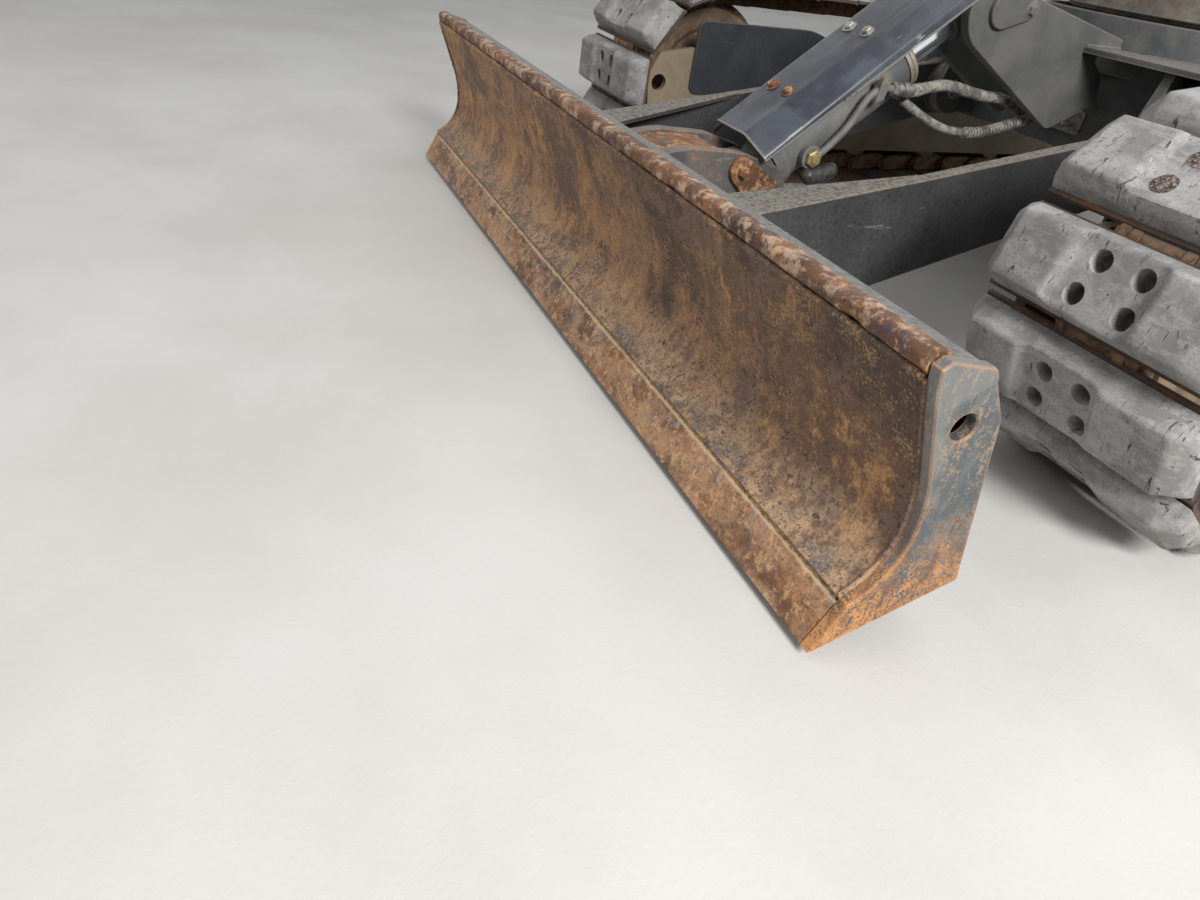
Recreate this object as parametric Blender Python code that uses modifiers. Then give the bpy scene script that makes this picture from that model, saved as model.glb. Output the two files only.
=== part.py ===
# Lower carriage of a crawler excavator of the 8 t class, with its dozer blade.
# Metres, +Z up, the blade at -Y. The origin is on the ground under the middle of the machine.
# Outlines below are drawn from the blade's cutting edge: y runs rearwards from it, z up from the
# ground. The empty "machine" then carries everything so that the origin is at mid length.

import bpy
import bmesh
from math import acos, atan2, cos, hypot, pi, radians, sin, sqrt, tan
from mathutils import Matrix, Vector

for old in list(bpy.data.objects):
    bpy.data.objects.remove(old, do_unlink=True)

# Clearances
SEAT = 0.0003            # gap between two pieces that touch
RUN = 0.0010             # side gap at a pin
BORE_RUN = 0.0005        # radial gap in a bore

# Track chain
LINK_CHORD = 0.154       # pin to pin
WRAP_STEP = radians(33.8)   # turn of the chain from one link to the next on the idler
SHOE_COUNT = 39
SHOE_WIDTH = 0.450
TRACK_X = 0.963          # middle of each track
RAIL_DEPTH = 0.034       # rail surface inside the pin line
SHOE_SEAT = 0.030        # shoe's inner face outside the pin line
SHOE_FACE = 0.0865       # rubber's ground face outside the pin line
SHOE_BASE = 0.142        # shoe's length along the chain at its seat
SHOE_CREST = 0.112       # and at its ground face
SHOE_SKIRT = 0.030       # height of the shoe's upright lower edge
PLATE_THICK = 0.010      # shoe plate under the rubber
RAIL_INNER = 0.034       # rails run from this to RAIL_OUTER beside the track's middle
RAIL_OUTER = 0.082
PHASE = {"right": 14.4, "left": 1.1}   # angle in degrees of one shoe above the idler's nose

PITCH_RADIUS = LINK_CHORD / (2 * sin(WRAP_STEP / 2))
WRAP_LINKS = pi / WRAP_STEP
RUN_LINKS = (SHOE_COUNT - 2 * WRAP_LINKS) / 2
WHEEL_CENTRES = RUN_LINKS * LINK_CHORD
CHORD_RADIUS = PITCH_RADIUS * cos(WRAP_STEP / 2)
TREAD_RADIUS = CHORD_RADIUS - RAIL_DEPTH - SEAT
AXLE_Z = PITCH_RADIUS + SHOE_FACE
IDLER_Y = 0.871
SPROCKET_Y = IDLER_Y + WHEEL_CENTRES
SLEW_Y = (IDLER_Y + SPROCKET_Y) / 2

# Idler, sprocket and rollers
FLANGE_HALF = 0.030      # guide flange between the rails
FLANGE_RISE = 0.026
TREAD_HALF = 0.080
IDLER_SHAFT = 0.030
SPROCKET_TEETH = 21
TOOTH_TIP = PITCH_RADIUS - 0.002
TOOTH_ROOT = PITCH_RADIUS - 0.030
SPROCKET_THICK = 0.048
SPROCKET_BORE = 0.135
ROLLER_RADIUS = 0.062
ROLLER_COUNT = 5
ROLLER_SHAFT = 0.024
CARRIER_RADIUS = 0.045

# Track frame
BEAM_HALF = 0.112
BEAM_WALL = 0.022
BEAM_TOP = 0.500
BEAM_BASE = 0.270
SKIRT_BASE = 0.150
BEAM_FRONT = IDLER_Y + 0.285
BEAM_REAR = SPROCKET_Y - 0.300
LUG_X = 0.785            # tie-down lug beside the idler
LUG_THICK = 0.022
LUG_HOLE = 0.025

# Travel motor
MOTOR_RADIUS = 0.128
MOTOR_FLANGE = 0.165
DRIVE_RADIUS = 0.118
DRIVE_REACH = 0.150      # final drive's cover beyond the sprocket's middle
MOTOR_REACH = 0.215      # motor's inner end inside the sprocket's middle

# Centre frame and slewing ring
BOX_HALF = 0.460
BOX_FRONT = 1.520
BOX_BASE = 0.400
DECK_TOP = 0.665
DECK_THICK = 0.013
DECK_FRONT = 1.367
DECK_HALF = 0.500
DRUM_RADIUS = 0.470
DRUM_TOP = 0.735
WELL_RADIUS = 0.240
WELL_FLOOR = 0.450
LEG_TIP_TOP = 0.505
LEG_TIP_BASE = 0.285
LEG_SPREAD = 0.120       # the leg's tips stand this much further apart than their roots
LEG_LENGTH = 0.330
COVER_THICK = 0.010
COVER_HALF = 0.300
COVER_INSET = 0.060      # from the box's ends
OUTER_RACE_R = 0.435
RING_WIDTH = 0.105       # from the gear's pitch line to the outer race's rim
INNER_RACE_R = OUTER_RACE_R - RING_WIDTH
GEAR_TEETH = 48
GEAR_DEPTH = 0.014
RACE_SPLIT_R = OUTER_RACE_R - 0.505 * RING_WIDTH
RACE_GAP = 0.0009        # between the races, more than the depth of one of their flats
RACE_STEPS = 64
RACE_TOP = 0.825
INNER_RACE_TOP = 0.808
RACE_LIFT = 0.012        # outer race above the drum
BOLT_CIRCLE = OUTER_RACE_R - 0.22 * RING_WIDTH
BOLT_COUNT = 24
BOLT_HOLE = 0.0085
SWIVEL_RADIUS = 0.078
SWIVEL_TOP = 0.870

# Blade
BLADE_WIDTH = 2.320
EDGE_BASE = 0.015        # cutting edge above the ground
EDGE_SLOPE = radians(62)
EDGE_HEIGHT = 0.080
EDGE_THICK = 0.016
END_PLATE_THICK = 0.020
BOARD_THICK = 0.014
BOARD_BACK = 0.1045      # deepest point of the curve behind the cutting edge
BOARD_BACK_Z = 0.205
LOWER_CURVE_R = 0.125
LOWER_CURVE_TURN = radians(62)
UPPER_CURVE_R = 0.260
UPPER_CURVE_TURN = radians(20.5)
BOARD_TOP = 0.432
LIP_TOP = 0.4605
LIP_DEPTH = 0.036
LIP_ROUND = 0.011
BACK_THICK = 0.010
LIFT_HOLE_R = 0.019

# Push arms
ARM_X = 0.384
ARM_THICK = 0.032
ARM_PIVOT = (1.420, 0.475)
ARM_BOSS_R = 0.072
ARM_BOSS_HALF = 0.040
ARM_PIN_R = 0.028
BRACKET_THICK = 0.024
GUSSET_REACH = 0.110     # top gusset's width at the blade, inwards from the arm
GUSSET_THICK = 0.012
GUSSET_PROUD = 0.002     # its weld stands this much above the arm

# Blade cylinder
LOWER_PIN = (0.505, 0.296)
UPPER_PIN = (1.055, 0.722)
PIN_R = 0.030
BARREL_R = 0.065
BARREL_END = 0.482       # end of the gland from the lower pin
GLAND_LENGTH = 0.024
COLLAR_LENGTH = 0.026
ROD_R = 0.035
ROD_START = 0.300
EYE_R = 0.060
BARREL_EYE_HALF = 0.062
ROD_EYE_HALF = 0.045
EAR_INNER = 0.072        # carriage ears, beside the cylinder
EAR_THICK = 0.028
EAR_NOSE_R = 0.095       # round the pin in front, and EAR_TOP_R above it
EAR_TOP_R = 0.075
CLEVIS_INNER = 0.068     # blade ears
CLEVIS_THICK = 0.032
CLEVIS_R = 0.066
KEEPER_THICK = 0.012     # plates that hold the pins
GUARD_TOP = 0.130        # guard's flat above the cylinder's line
GUARD_THICK = 0.005
GUARD_START = 0.030
GUARD_END = 0.640
PIPE_R = 0.009
BANJO = (0.639, 0.373)      # where the steel line leaves the barrel
ROD_PORT = (0.8591, 0.5247) # where the lower hose does
FERRULE_Y = 0.8225          # joint of the steel line and the upper hose

CYLINDER_TILT = atan2(UPPER_PIN[1] - LOWER_PIN[1], UPPER_PIN[0] - LOWER_PIN[0])
PIN_SPAN = hypot(UPPER_PIN[0] - LOWER_PIN[0], UPPER_PIN[1] - LOWER_PIN[1])

SIDES = {"left": -1, "right": 1}

# Scene layout

parts = bpy.data.collections.new("excavator_undercarriage")
cutters = bpy.data.collections.new("cutters")
bpy.context.scene.collection.children.link(parts)
bpy.context.scene.collection.children.link(cutters)


def material(name, colour, roughness, metallic):
    mat = bpy.data.materials.new(name)
    mat.use_nodes = True
    shader = mat.node_tree.nodes["Principled BSDF"]
    shader.inputs["Base Color"].default_value = (*colour, 1.0)
    shader.inputs["Roughness"].default_value = roughness
    shader.inputs["Metallic"].default_value = metallic
    return mat


PAINT = material("dark_grey_paint", (0.055, 0.060, 0.066), 0.55, 0.0)
RUST = material("worn_rusty_steel", (0.230, 0.105, 0.050), 0.75, 0.3)
BLUE_GREY = material("blue_grey_paint", (0.110, 0.130, 0.150), 0.60, 0.0)
RUBBER = material("dusty_rubber", (0.240, 0.240, 0.235), 0.85, 0.0)
CAST = material("dusty_cast_steel", (0.200, 0.150, 0.110), 0.80, 0.2)
STEEL = material("bare_steel", (0.420, 0.410, 0.400), 0.45, 0.9)
CHROME = material("hard_chrome", (0.800, 0.820, 0.850), 0.12, 1.0)
HOSE = material("dusty_hose", (0.300, 0.290, 0.240), 0.90, 0.0)


def empty(name, y, z, parent=None, x=0.0, tilt=0.0):
    holder = bpy.data.objects.new(name, None)
    holder.location = (x, y, z)
    holder.rotation_euler = (tilt, 0.0, 0.0)
    holder.parent = parent
    parts.objects.link(holder)
    return holder


# Shape tools: each returns a mesh in the frame of the cutting edge

def arc(centre, radius, start, end, steps):
    """Points on a circle, from one angle to another, both ends included."""
    angles = [start + (end - start) * i / steps for i in range(steps + 1)]
    return [(centre[0] + radius * cos(a), centre[1] + radius * sin(a)) for a in angles]


def circle(centre, radius, steps):
    return arc(centre, radius, 0.0, 2 * pi, steps)[:-1]


def band(path, thickness):
    """Closed outline of a sheet: the path, and the same path moved to its right-hand side."""
    shifted = []
    for i, point in enumerate(path):
        before = path[max(i - 1, 0)]
        after = path[min(i + 1, len(path) - 1)]
        a = Vector((point[0] - before[0], point[1] - before[1])) if i else None
        b = Vector((after[0] - point[0], after[1] - point[1])) if i < len(path) - 1 else None
        a = (a or b).normalized()
        b = (b or a).normalized()
        side = Vector((a.y + b.y, -a.x - b.x)).normalized()
        reach = thickness / side.dot(Vector((a.y, -a.x)))
        shifted.append((point[0] + side.x * reach, point[1] + side.y * reach))
    return list(path) + shifted[::-1]


def outline_mesh(outline, thickness, holes=()):
    """A flat outline given thickness, as a mesh with its caps welded. It lies in XY about z = 0."""
    data = bpy.data.curves.new("outline", "CURVE")
    data.dimensions = "2D"
    data.fill_mode = "BOTH"
    data.extrude = thickness / 2
    for loop in (outline, *holes):
        spline = data.splines.new("POLY")
        spline.points.add(len(loop) - 1)
        for point, (u, v) in zip(spline.points, loop):
            point.co = (u, v, 0.0, 1.0)
        spline.use_cyclic_u = True
    curve = bpy.data.objects.new("outline", data)
    bpy.context.scene.collection.objects.link(curve)
    bpy.context.view_layer.update()
    mesh = bpy.data.meshes.new_from_object(curve.evaluated_get(bpy.context.evaluated_depsgraph_get()))
    bpy.data.objects.remove(curve, do_unlink=True)
    weld(mesh)
    return mesh


def weld(mesh):
    work = bmesh.new()
    work.from_mesh(mesh)
    bmesh.ops.remove_doubles(work, verts=work.verts, dist=0.00001)
    bmesh.ops.recalc_face_normals(work, faces=work.faces)
    work.to_mesh(mesh)
    work.free()


def side_plate(outline, x0, x1, holes=()):
    """An outline in (y, z), standing between two values of x."""
    mesh = outline_mesh(outline, x1 - x0, holes)
    to_yz = Matrix(((0, 0, 1, (x0 + x1) / 2), (1, 0, 0, 0), (0, 1, 0, 0), (0, 0, 0, 1)))
    mesh.transform(to_yz)
    return mesh


def flat_plate(outline, z0, z1, holes=()):
    """An outline in (x, y), lying between two values of z."""
    mesh = outline_mesh(outline, z1 - z0, holes)
    mesh.transform(Matrix.Translation((0.0, 0.0, (z0 + z1) / 2)))
    return mesh


def box(low, high):
    work = bmesh.new()
    bmesh.ops.create_cube(work, size=1.0)
    size = [b - a for a, b in zip(low, high)]
    middle = [(a + b) / 2 for a, b in zip(low, high)]
    bmesh.ops.scale(work, vec=size, verts=work.verts)
    bmesh.ops.translate(work, vec=middle, verts=work.verts)
    mesh = bpy.data.meshes.new("box")
    work.to_mesh(mesh)
    work.free()
    return mesh


AXES = {
    "x": Matrix(((0, 0, 1, 0), (1, 0, 0, 0), (0, 1, 0, 0), (0, 0, 0, 1))),
    "y": Matrix(((0, 1, 0, 0), (0, 0, 1, 0), (1, 0, 0, 0), (0, 0, 0, 1))),
    "z": Matrix.Identity(4),
}


def turned(profile, axis, centre, steps=32):
    """A profile of (position along the axis, radius) turned about an axis through centre."""
    data = bpy.data.meshes.new("profile")
    points = [(radius, 0.0, along) for along, radius in profile]
    pairs = [(i, (i + 1) % len(points)) for i in range(len(points))]
    edges = [(i, j) for i, j in pairs if points[i][0] > 0 or points[j][0] > 0]
    data.from_pydata(points, edges, [])
    work = bpy.data.objects.new("profile", data)
    bpy.context.scene.collection.objects.link(work)
    screw = work.modifiers.new("turn", "SCREW")
    screw.axis = "Z"
    screw.steps = screw.render_steps = steps
    screw.use_merge_vertices = True
    screw.merge_threshold = 0.0001
    bpy.context.view_layer.update()
    mesh = bpy.data.meshes.new_from_object(work.evaluated_get(bpy.context.evaluated_depsgraph_get()))
    bpy.data.objects.remove(work, do_unlink=True)
    weld(mesh)
    mesh.transform(Matrix.Translation(centre) @ AXES[axis])
    return mesh


def rod(axis, centre, radius, start, end, steps=24):
    """A plain round bar along an axis, between two positions measured from centre."""
    return turned([(start, 0.0), (start, radius), (end, radius), (end, 0.0)], axis, centre, steps)


def tube(points, radius, sides=2):
    """A pipe or hose along a smooth route of points."""
    data = bpy.data.curves.new("route", "CURVE")
    data.dimensions = "3D"
    data.bevel_depth = radius
    data.bevel_resolution = sides
    data.use_fill_caps = True
    spline = data.splines.new("POLY")
    spline.points.add(len(points) - 1)
    for point, place in zip(spline.points, points):
        point.co = (*place, 1.0)
    curve = bpy.data.objects.new("route", data)
    bpy.context.scene.collection.objects.link(curve)
    bpy.context.view_layer.update()
    mesh = bpy.data.meshes.new_from_object(curve.evaluated_get(bpy.context.evaluated_depsgraph_get()))
    bpy.data.objects.remove(curve, do_unlink=True)
    weld(mesh)
    return mesh


def smooth(route, count):
    """Evenly numbered points on a smooth curve through the points of a route."""
    points = [Vector(p) for p in route]
    points = [2 * points[0] - points[1], *points, 2 * points[-1] - points[-2]]
    spans = len(points) - 3
    result = []
    for i in range(count + 1):
        along = i / count * spans
        k = min(int(along), spans - 1)
        t = along - k
        p0, p1, p2, p3 = points[k:k + 4]
        result.append(0.5 * (2 * p1 + (p2 - p0) * t + (2 * p0 - 5 * p1 + 4 * p2 - p3) * t ** 2
                             + (3 * p1 - p0 - 3 * p2 + p3) * t ** 3))
    return result


def piece(name, mesh, finish, holder, add=(), cut=(), solver="EXACT"):
    """A named part. Meshes in add are joined to it and those in cut are taken out of it."""
    mesh = mesh.copy()
    mesh.name = name
    mesh.materials.clear()
    mesh.materials.append(finish)
    thing = bpy.data.objects.new(name, mesh)
    parts.objects.link(thing)
    thing.parent = holder
    for operation, tools in (("UNION", add), ("DIFFERENCE", cut)):
        for number, tool_mesh in enumerate(tools):
            tool = bpy.data.objects.new(f"{name}_{operation.lower()}_{number}", tool_mesh)
            tool.display_type = "WIRE"
            tool.hide_render = True
            tool.parent = holder
            cutters.objects.link(tool)
            step = thing.modifiers.new(tool.name, "BOOLEAN")
            step.operation = operation
            step.solver = solver
            step.object = tool
    if len(add) + len(cut) == 0:
        mesh.shade_smooth()
        mesh.set_sharp_from_angle(angle=radians(35))
    return thing


# Track chain: where a point of the loop lies

def on_loop(links, offset, side_shift=0.0):
    """A point that many links up and back from the idler's nose, offset outwards from the
    chain's pins. side_shift moves it along the shoe there, so a shoe stays flat."""
    quarter = WRAP_LINKS / 2
    place = links % SHOE_COUNT
    if place > SHOE_COUNT - quarter:
        place -= SHOE_COUNT
    if place <= quarter:
        turn = place * WRAP_STEP
        centre = (IDLER_Y, AXLE_Z)
        out = (-cos(turn), sin(turn))
        radius = CHORD_RADIUS
    elif place <= quarter + RUN_LINKS:
        centre = (IDLER_Y + (place - quarter) * LINK_CHORD, AXLE_Z)
        out = (0.0, 1.0)
        radius = PITCH_RADIUS
    elif place <= 3 * quarter + RUN_LINKS:
        turn = (place - quarter - RUN_LINKS) * WRAP_STEP
        centre = (SPROCKET_Y, AXLE_Z)
        out = (sin(turn), cos(turn))
        radius = CHORD_RADIUS
    else:
        centre = (SPROCKET_Y - (place - 3 * quarter - RUN_LINKS) * LINK_CHORD, AXLE_Z)
        out = (0.0, -1.0)
        radius = PITCH_RADIUS
    along = (out[1], -out[0])
    return (centre[0] + out[0] * (radius + offset) + along[0] * side_shift,
            centre[1] + out[1] * (radius + offset) + along[1] * side_shift)


def shoe_outline(first):
    """The loop's outer outline: each shoe stands up from the band that carries the shoes."""
    outline = []
    for shoe in range(SHOE_COUNT):
        place = first + shoe
        for half, height in ((-SHOE_BASE / 2, SHOE_SEAT), (-SHOE_BASE / 2, SHOE_SEAT + SHOE_SKIRT),
                             (-SHOE_CREST / 2, SHOE_FACE), (SHOE_CREST / 2, SHOE_FACE),
                             (SHOE_BASE / 2, SHOE_SEAT + SHOE_SKIRT), (SHOE_BASE / 2, SHOE_SEAT)):
            outline.append(on_loop(place, height, half))
    return outline


def link_outline(first, offset):
    """A closed run of straight links, with a corner near each pin."""
    half = LINK_CHORD / 2 + offset * tan(WRAP_STEP / 4)
    outline = []
    for link in range(SHOE_COUNT):
        here = Vector(on_loop(first + link, offset, half))
        following = Vector(on_loop(first + link + 1, offset, -half))
        outline.append(tuple((here + following) / 2))
    return outline


first_shoe = {side: radians(angle) / WRAP_STEP for side, angle in PHASE.items()}
MACHINE_LENGTH = max(y for side in SIDES for y, z in shoe_outline(first_shoe[side]))

machine = empty("machine", -MACHINE_LENGTH / 2, 0.0)
slew_axis = empty("slew_axis", SLEW_Y, 0.0, machine)
blade_pivot = empty("blade_pivot", *ARM_PIVOT, machine)
to_blade = (LOWER_PIN[0] - ARM_PIVOT[0], LOWER_PIN[1] - ARM_PIVOT[1])
barrel_pivot = empty("barrel_pivot", *to_blade, blade_pivot, tilt=CYLINDER_TILT)
rod_line = empty("rod_line", 0.0, 0.0, barrel_pivot)


def move(mesh, x=0.0, y=0.0, z=0.0):
    mesh.transform(Matrix.Translation((x, y, z)))
    return mesh


def on_blade(mesh):
    """From the cutting edge's frame to that of the blade's pivot."""
    return move(mesh, 0.0, -ARM_PIVOT[0], -ARM_PIVOT[1])


# Tracks

for side, sign in SIDES.items():
    middle = sign * TRACK_X
    start = first_shoe[side]
    shoes = side_plate(shoe_outline(start), middle - SHOE_WIDTH / 2, middle + SHOE_WIDTH / 2,
                       [link_outline(start, SHOE_SEAT - PLATE_THICK)])
    rails = []
    for inner, outer in ((RAIL_INNER, RAIL_OUTER), (-RAIL_OUTER, -RAIL_INNER)):
        rails.append(side_plate(link_outline(start, SHOE_SEAT - PLATE_THICK / 2),
                                middle + inner, middle + outer,
                                [link_outline(start, -RAIL_DEPTH)]))
    piece(f"track_{side}", shoes, RUBBER, machine, add=rails, solver="MANIFOLD")

# Idlers: a tread under each rail and a guide flange between the rails

idler_profile = [(-TREAD_HALF, TREAD_RADIUS),
                 (-FLANGE_HALF - 0.002, TREAD_RADIUS),
                 (-FLANGE_HALF + 0.006, TREAD_RADIUS + FLANGE_RISE)]
idler_profile += [(-along, radius) for along, radius in reversed(idler_profile)]
shaft_end = BEAM_HALF - BEAM_WALL - SEAT
idler_profile = ([(-shaft_end, 0.0), (-shaft_end, IDLER_SHAFT), (-TREAD_HALF, IDLER_SHAFT)]
                 + idler_profile
                 + [(TREAD_HALF, IDLER_SHAFT), (shaft_end, IDLER_SHAFT), (shaft_end, 0.0)])
for side, sign in SIDES.items():
    wheel = turned(idler_profile, "x", (sign * TRACK_X, IDLER_Y, AXLE_Z), 28)
    piece(f"idler_{side}", wheel, CAST, machine)

# Sprockets: a toothed ring bolted round the travel motor

tooth_outline = []
for tooth in range(SPROCKET_TEETH):
    base = 2 * pi * tooth / SPROCKET_TEETH
    for share, radius in ((-0.30, TOOTH_ROOT), (-0.13, TOOTH_TIP), (0.13, TOOTH_TIP), (0.30, TOOTH_ROOT)):
        angle = base + share * 2 * pi / SPROCKET_TEETH
        tooth_outline.append((SPROCKET_Y + radius * cos(angle), AXLE_Z + radius * sin(angle)))
for side, sign in SIDES.items():
    ring = side_plate(tooth_outline, sign * TRACK_X - SPROCKET_THICK / 2,
                      sign * TRACK_X + SPROCKET_THICK / 2,
                      [circle((SPROCKET_Y, AXLE_Z), SPROCKET_BORE, 24)])
    piece(f"sprocket_{side}", ring, CAST, machine)

# Travel motors: final drive outside, flange behind the sprocket, motor inside the frame

for side, sign in SIDES.items():
    half = SPROCKET_THICK / 2 + SEAT
    profile = [(-MOTOR_REACH, 0.0), (-MOTOR_REACH, 0.100),
               (-BEAM_HALF, 0.100), (-BEAM_HALF, MOTOR_RADIUS), (-half - 0.018, MOTOR_RADIUS),
               (-half - 0.018, MOTOR_FLANGE), (-half, MOTOR_FLANGE), (-half, SPROCKET_BORE - SEAT),
               (DRIVE_REACH - 0.050, SPROCKET_BORE - 0.010), (DRIVE_REACH - 0.030, DRIVE_RADIUS),
               (DRIVE_REACH, DRIVE_RADIUS), (DRIVE_REACH, 0.0)]
    profile = [(sign * along, radius) for along, radius in profile]
    motor = turned(profile, "x", (sign * TRACK_X, SPROCKET_Y, AXLE_Z), 24)
    piece(f"travel_motor_{side}", motor, PAINT, machine)

# Track frames: a beam with skirts, bottom rollers, carrier roller, idler fork and motor plate

roller_z = AXLE_Z - PITCH_RADIUS + RAIL_DEPTH + SEAT + ROLLER_RADIUS
roller_first = BEAM_FRONT + 0.090
roller_gap = (BEAM_REAR - 0.090 - roller_first) / (ROLLER_COUNT - 1)
skirt_in = BEAM_HALF - BEAM_WALL
beam_section = [(-BEAM_HALF, SKIRT_BASE), (-skirt_in, SKIRT_BASE), (-skirt_in, BEAM_BASE),
                (skirt_in, BEAM_BASE), (skirt_in, SKIRT_BASE), (BEAM_HALF, SKIRT_BASE),
                (BEAM_HALF, BEAM_TOP - 0.070), (BEAM_HALF - 0.045, BEAM_TOP),
                (-BEAM_HALF + 0.045, BEAM_TOP), (-BEAM_HALF, BEAM_TOP - 0.070)]
roller_half = [(-BEAM_HALF + 0.006, 0.0), (-BEAM_HALF + 0.006, ROLLER_SHAFT),
               (-TREAD_HALF, ROLLER_SHAFT), (-TREAD_HALF, ROLLER_RADIUS)]
roller_profile = roller_half + [(-along, radius) for along, radius in reversed(roller_half)]
fork_outline = ([(BEAM_FRONT + 0.060, SKIRT_BASE), (BEAM_FRONT + 0.060, BEAM_TOP - 0.075),
                 (IDLER_Y + 0.180, BEAM_TOP - 0.075)]
                + arc((IDLER_Y, AXLE_Z), 0.075, pi / 2, 3 * pi / 2, 6)
                + [(IDLER_Y + 0.180, SKIRT_BASE)])
motor_plate = ([(BEAM_REAR - 0.060, SKIRT_BASE), (SPROCKET_Y - 0.150, SKIRT_BASE + 0.020)]
               + arc((SPROCKET_Y, AXLE_Z), 0.185, -pi / 2, pi / 2, 8)
               + [(SPROCKET_Y - 0.150, BEAM_TOP), (BEAM_REAR - 0.060, BEAM_TOP - 0.075)])
lug_outline = ([(IDLER_Y - 0.080, AXLE_Z + 0.120), (IDLER_Y + 0.330, AXLE_Z + 0.120),
                (IDLER_Y + 0.330, AXLE_Z - 0.120), (IDLER_Y - 0.080, AXLE_Z - 0.120)]
               + [(IDLER_Y - 0.250, AXLE_Z - 0.060), (IDLER_Y - 0.262, AXLE_Z + 0.030),
                  (IDLER_Y - 0.230, AXLE_Z + 0.095)])
for side, sign in SIDES.items():
    middle = sign * TRACK_X
    beam = outline_mesh(beam_section, BEAM_REAR - BEAM_FRONT)
    beam.transform(Matrix(((1, 0, 0, middle), (0, 0, -1, (BEAM_FRONT + BEAM_REAR) / 2),
                           (0, 1, 0, 0), (0, 0, 0, 1))))
    extras = []
    for number in range(ROLLER_COUNT):
        place = (middle, roller_first + number * roller_gap, roller_z)
        extras.append(turned(roller_profile, "x", place, 12))
    for inner, outer in ((skirt_in, BEAM_HALF), (-BEAM_HALF, -skirt_in)):
        extras.append(side_plate(fork_outline, middle + inner, middle + outer))
    plate_x = sorted((middle - sign * BEAM_HALF, middle - sign * skirt_in))
    extras.append(side_plate(motor_plate, *plate_x))
    extras.append(box((middle - 0.030, SLEW_Y - 0.050, BEAM_TOP - 0.010),
                      (middle + 0.030, SLEW_Y + 0.050, BEAM_TOP + 0.020)))
    carrier_z = AXLE_Z + PITCH_RADIUS - RAIL_DEPTH - SEAT - CARRIER_RADIUS
    extras.append(rod("x", (middle, SLEW_Y, carrier_z), CARRIER_RADIUS, -TREAD_HALF, TREAD_HALF, 12))
    lug_x = sorted((sign * (LUG_X - LUG_THICK / 2), sign * (LUG_X + LUG_THICK / 2)))
    extras.append(side_plate(lug_outline, *lug_x,
                             [circle((IDLER_Y - 0.222, AXLE_Z + 0.008), LUG_HOLE, 16)]))
    spacer_x = sorted((sign * (LUG_X + LUG_THICK / 2 - 0.004), middle - sign * (skirt_in + 0.004)))
    extras.append(box((spacer_x[0], IDLER_Y + 0.200, AXLE_Z - 0.090),
                      (spacer_x[1], IDLER_Y + 0.320, AXLE_Z + 0.090)))
    motor_hole = rod("x", (middle, SPROCKET_Y, AXLE_Z), MOTOR_RADIUS + SEAT,
                     -BEAM_HALF - 0.010, BEAM_HALF + 0.010, 24)
    piece(f"track_frame_{side}", beam, PAINT, machine, add=extras, cut=[motor_hole])

# Centre frame: a box with a drum on top, under the slewing ring, and a well for the swivel joint

BOX_REAR = 2 * SLEW_Y - BOX_FRONT
box_body = box((-BOX_HALF, BOX_FRONT, BOX_BASE), (BOX_HALF, BOX_REAR, DECK_TOP))
drum = rod("z", (0.0, SLEW_Y, 0.0), DRUM_RADIUS, DECK_TOP - 0.060, DRUM_TOP, 48)
well = rod("z", (0.0, SLEW_Y, 0.0), WELL_RADIUS, WELL_FLOOR, DRUM_TOP + 0.010, 36)
piece("centre_frame", box_body, PAINT, machine, add=[drum], cut=[well], solver="MANIFOLD")

# Legs from the box's sides to the track frames: two a side, spread outwards

leg_end = TRACK_X - BEAM_HALF - SEAT


def leg(side_sign, end_sign):
    """One leg: a box with its outer end moved."""
    root_y = SLEW_Y + end_sign * (SLEW_Y - BOX_FRONT)
    work = bmesh.new()
    bmesh.ops.create_cube(work, size=1.0)
    for vert in work.verts:
        outer = vert.co.x > 0
        top = vert.co.z > 0
        far = vert.co.y > 0
        x = leg_end if outer else BOX_HALF + SEAT
        y = root_y + end_sign * (LEG_SPREAD if outer else 0.0)
        if not far:
            y -= end_sign * LEG_LENGTH
        z = (LEG_TIP_TOP if top else LEG_TIP_BASE) if outer else (
            DECK_TOP - 0.020 if top else BOX_BASE)
        vert.co = (side_sign * x, y, z)
    work.normal_update()
    bmesh.ops.recalc_face_normals(work, faces=work.faces)
    mesh = bpy.data.meshes.new("leg")
    work.to_mesh(mesh)
    work.free()
    return mesh


for side, sign in SIDES.items():
    for end_name, end_sign in (("front", -1), ("rear", 1)):
        piece(f"frame_leg_{end_name}_{side}", leg(sign, end_sign), PAINT, machine)

# Front decks beside the ears, cut back where the drum stands out of the box. Each has two
# brackets under it, beside the push arm's boss.

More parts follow.
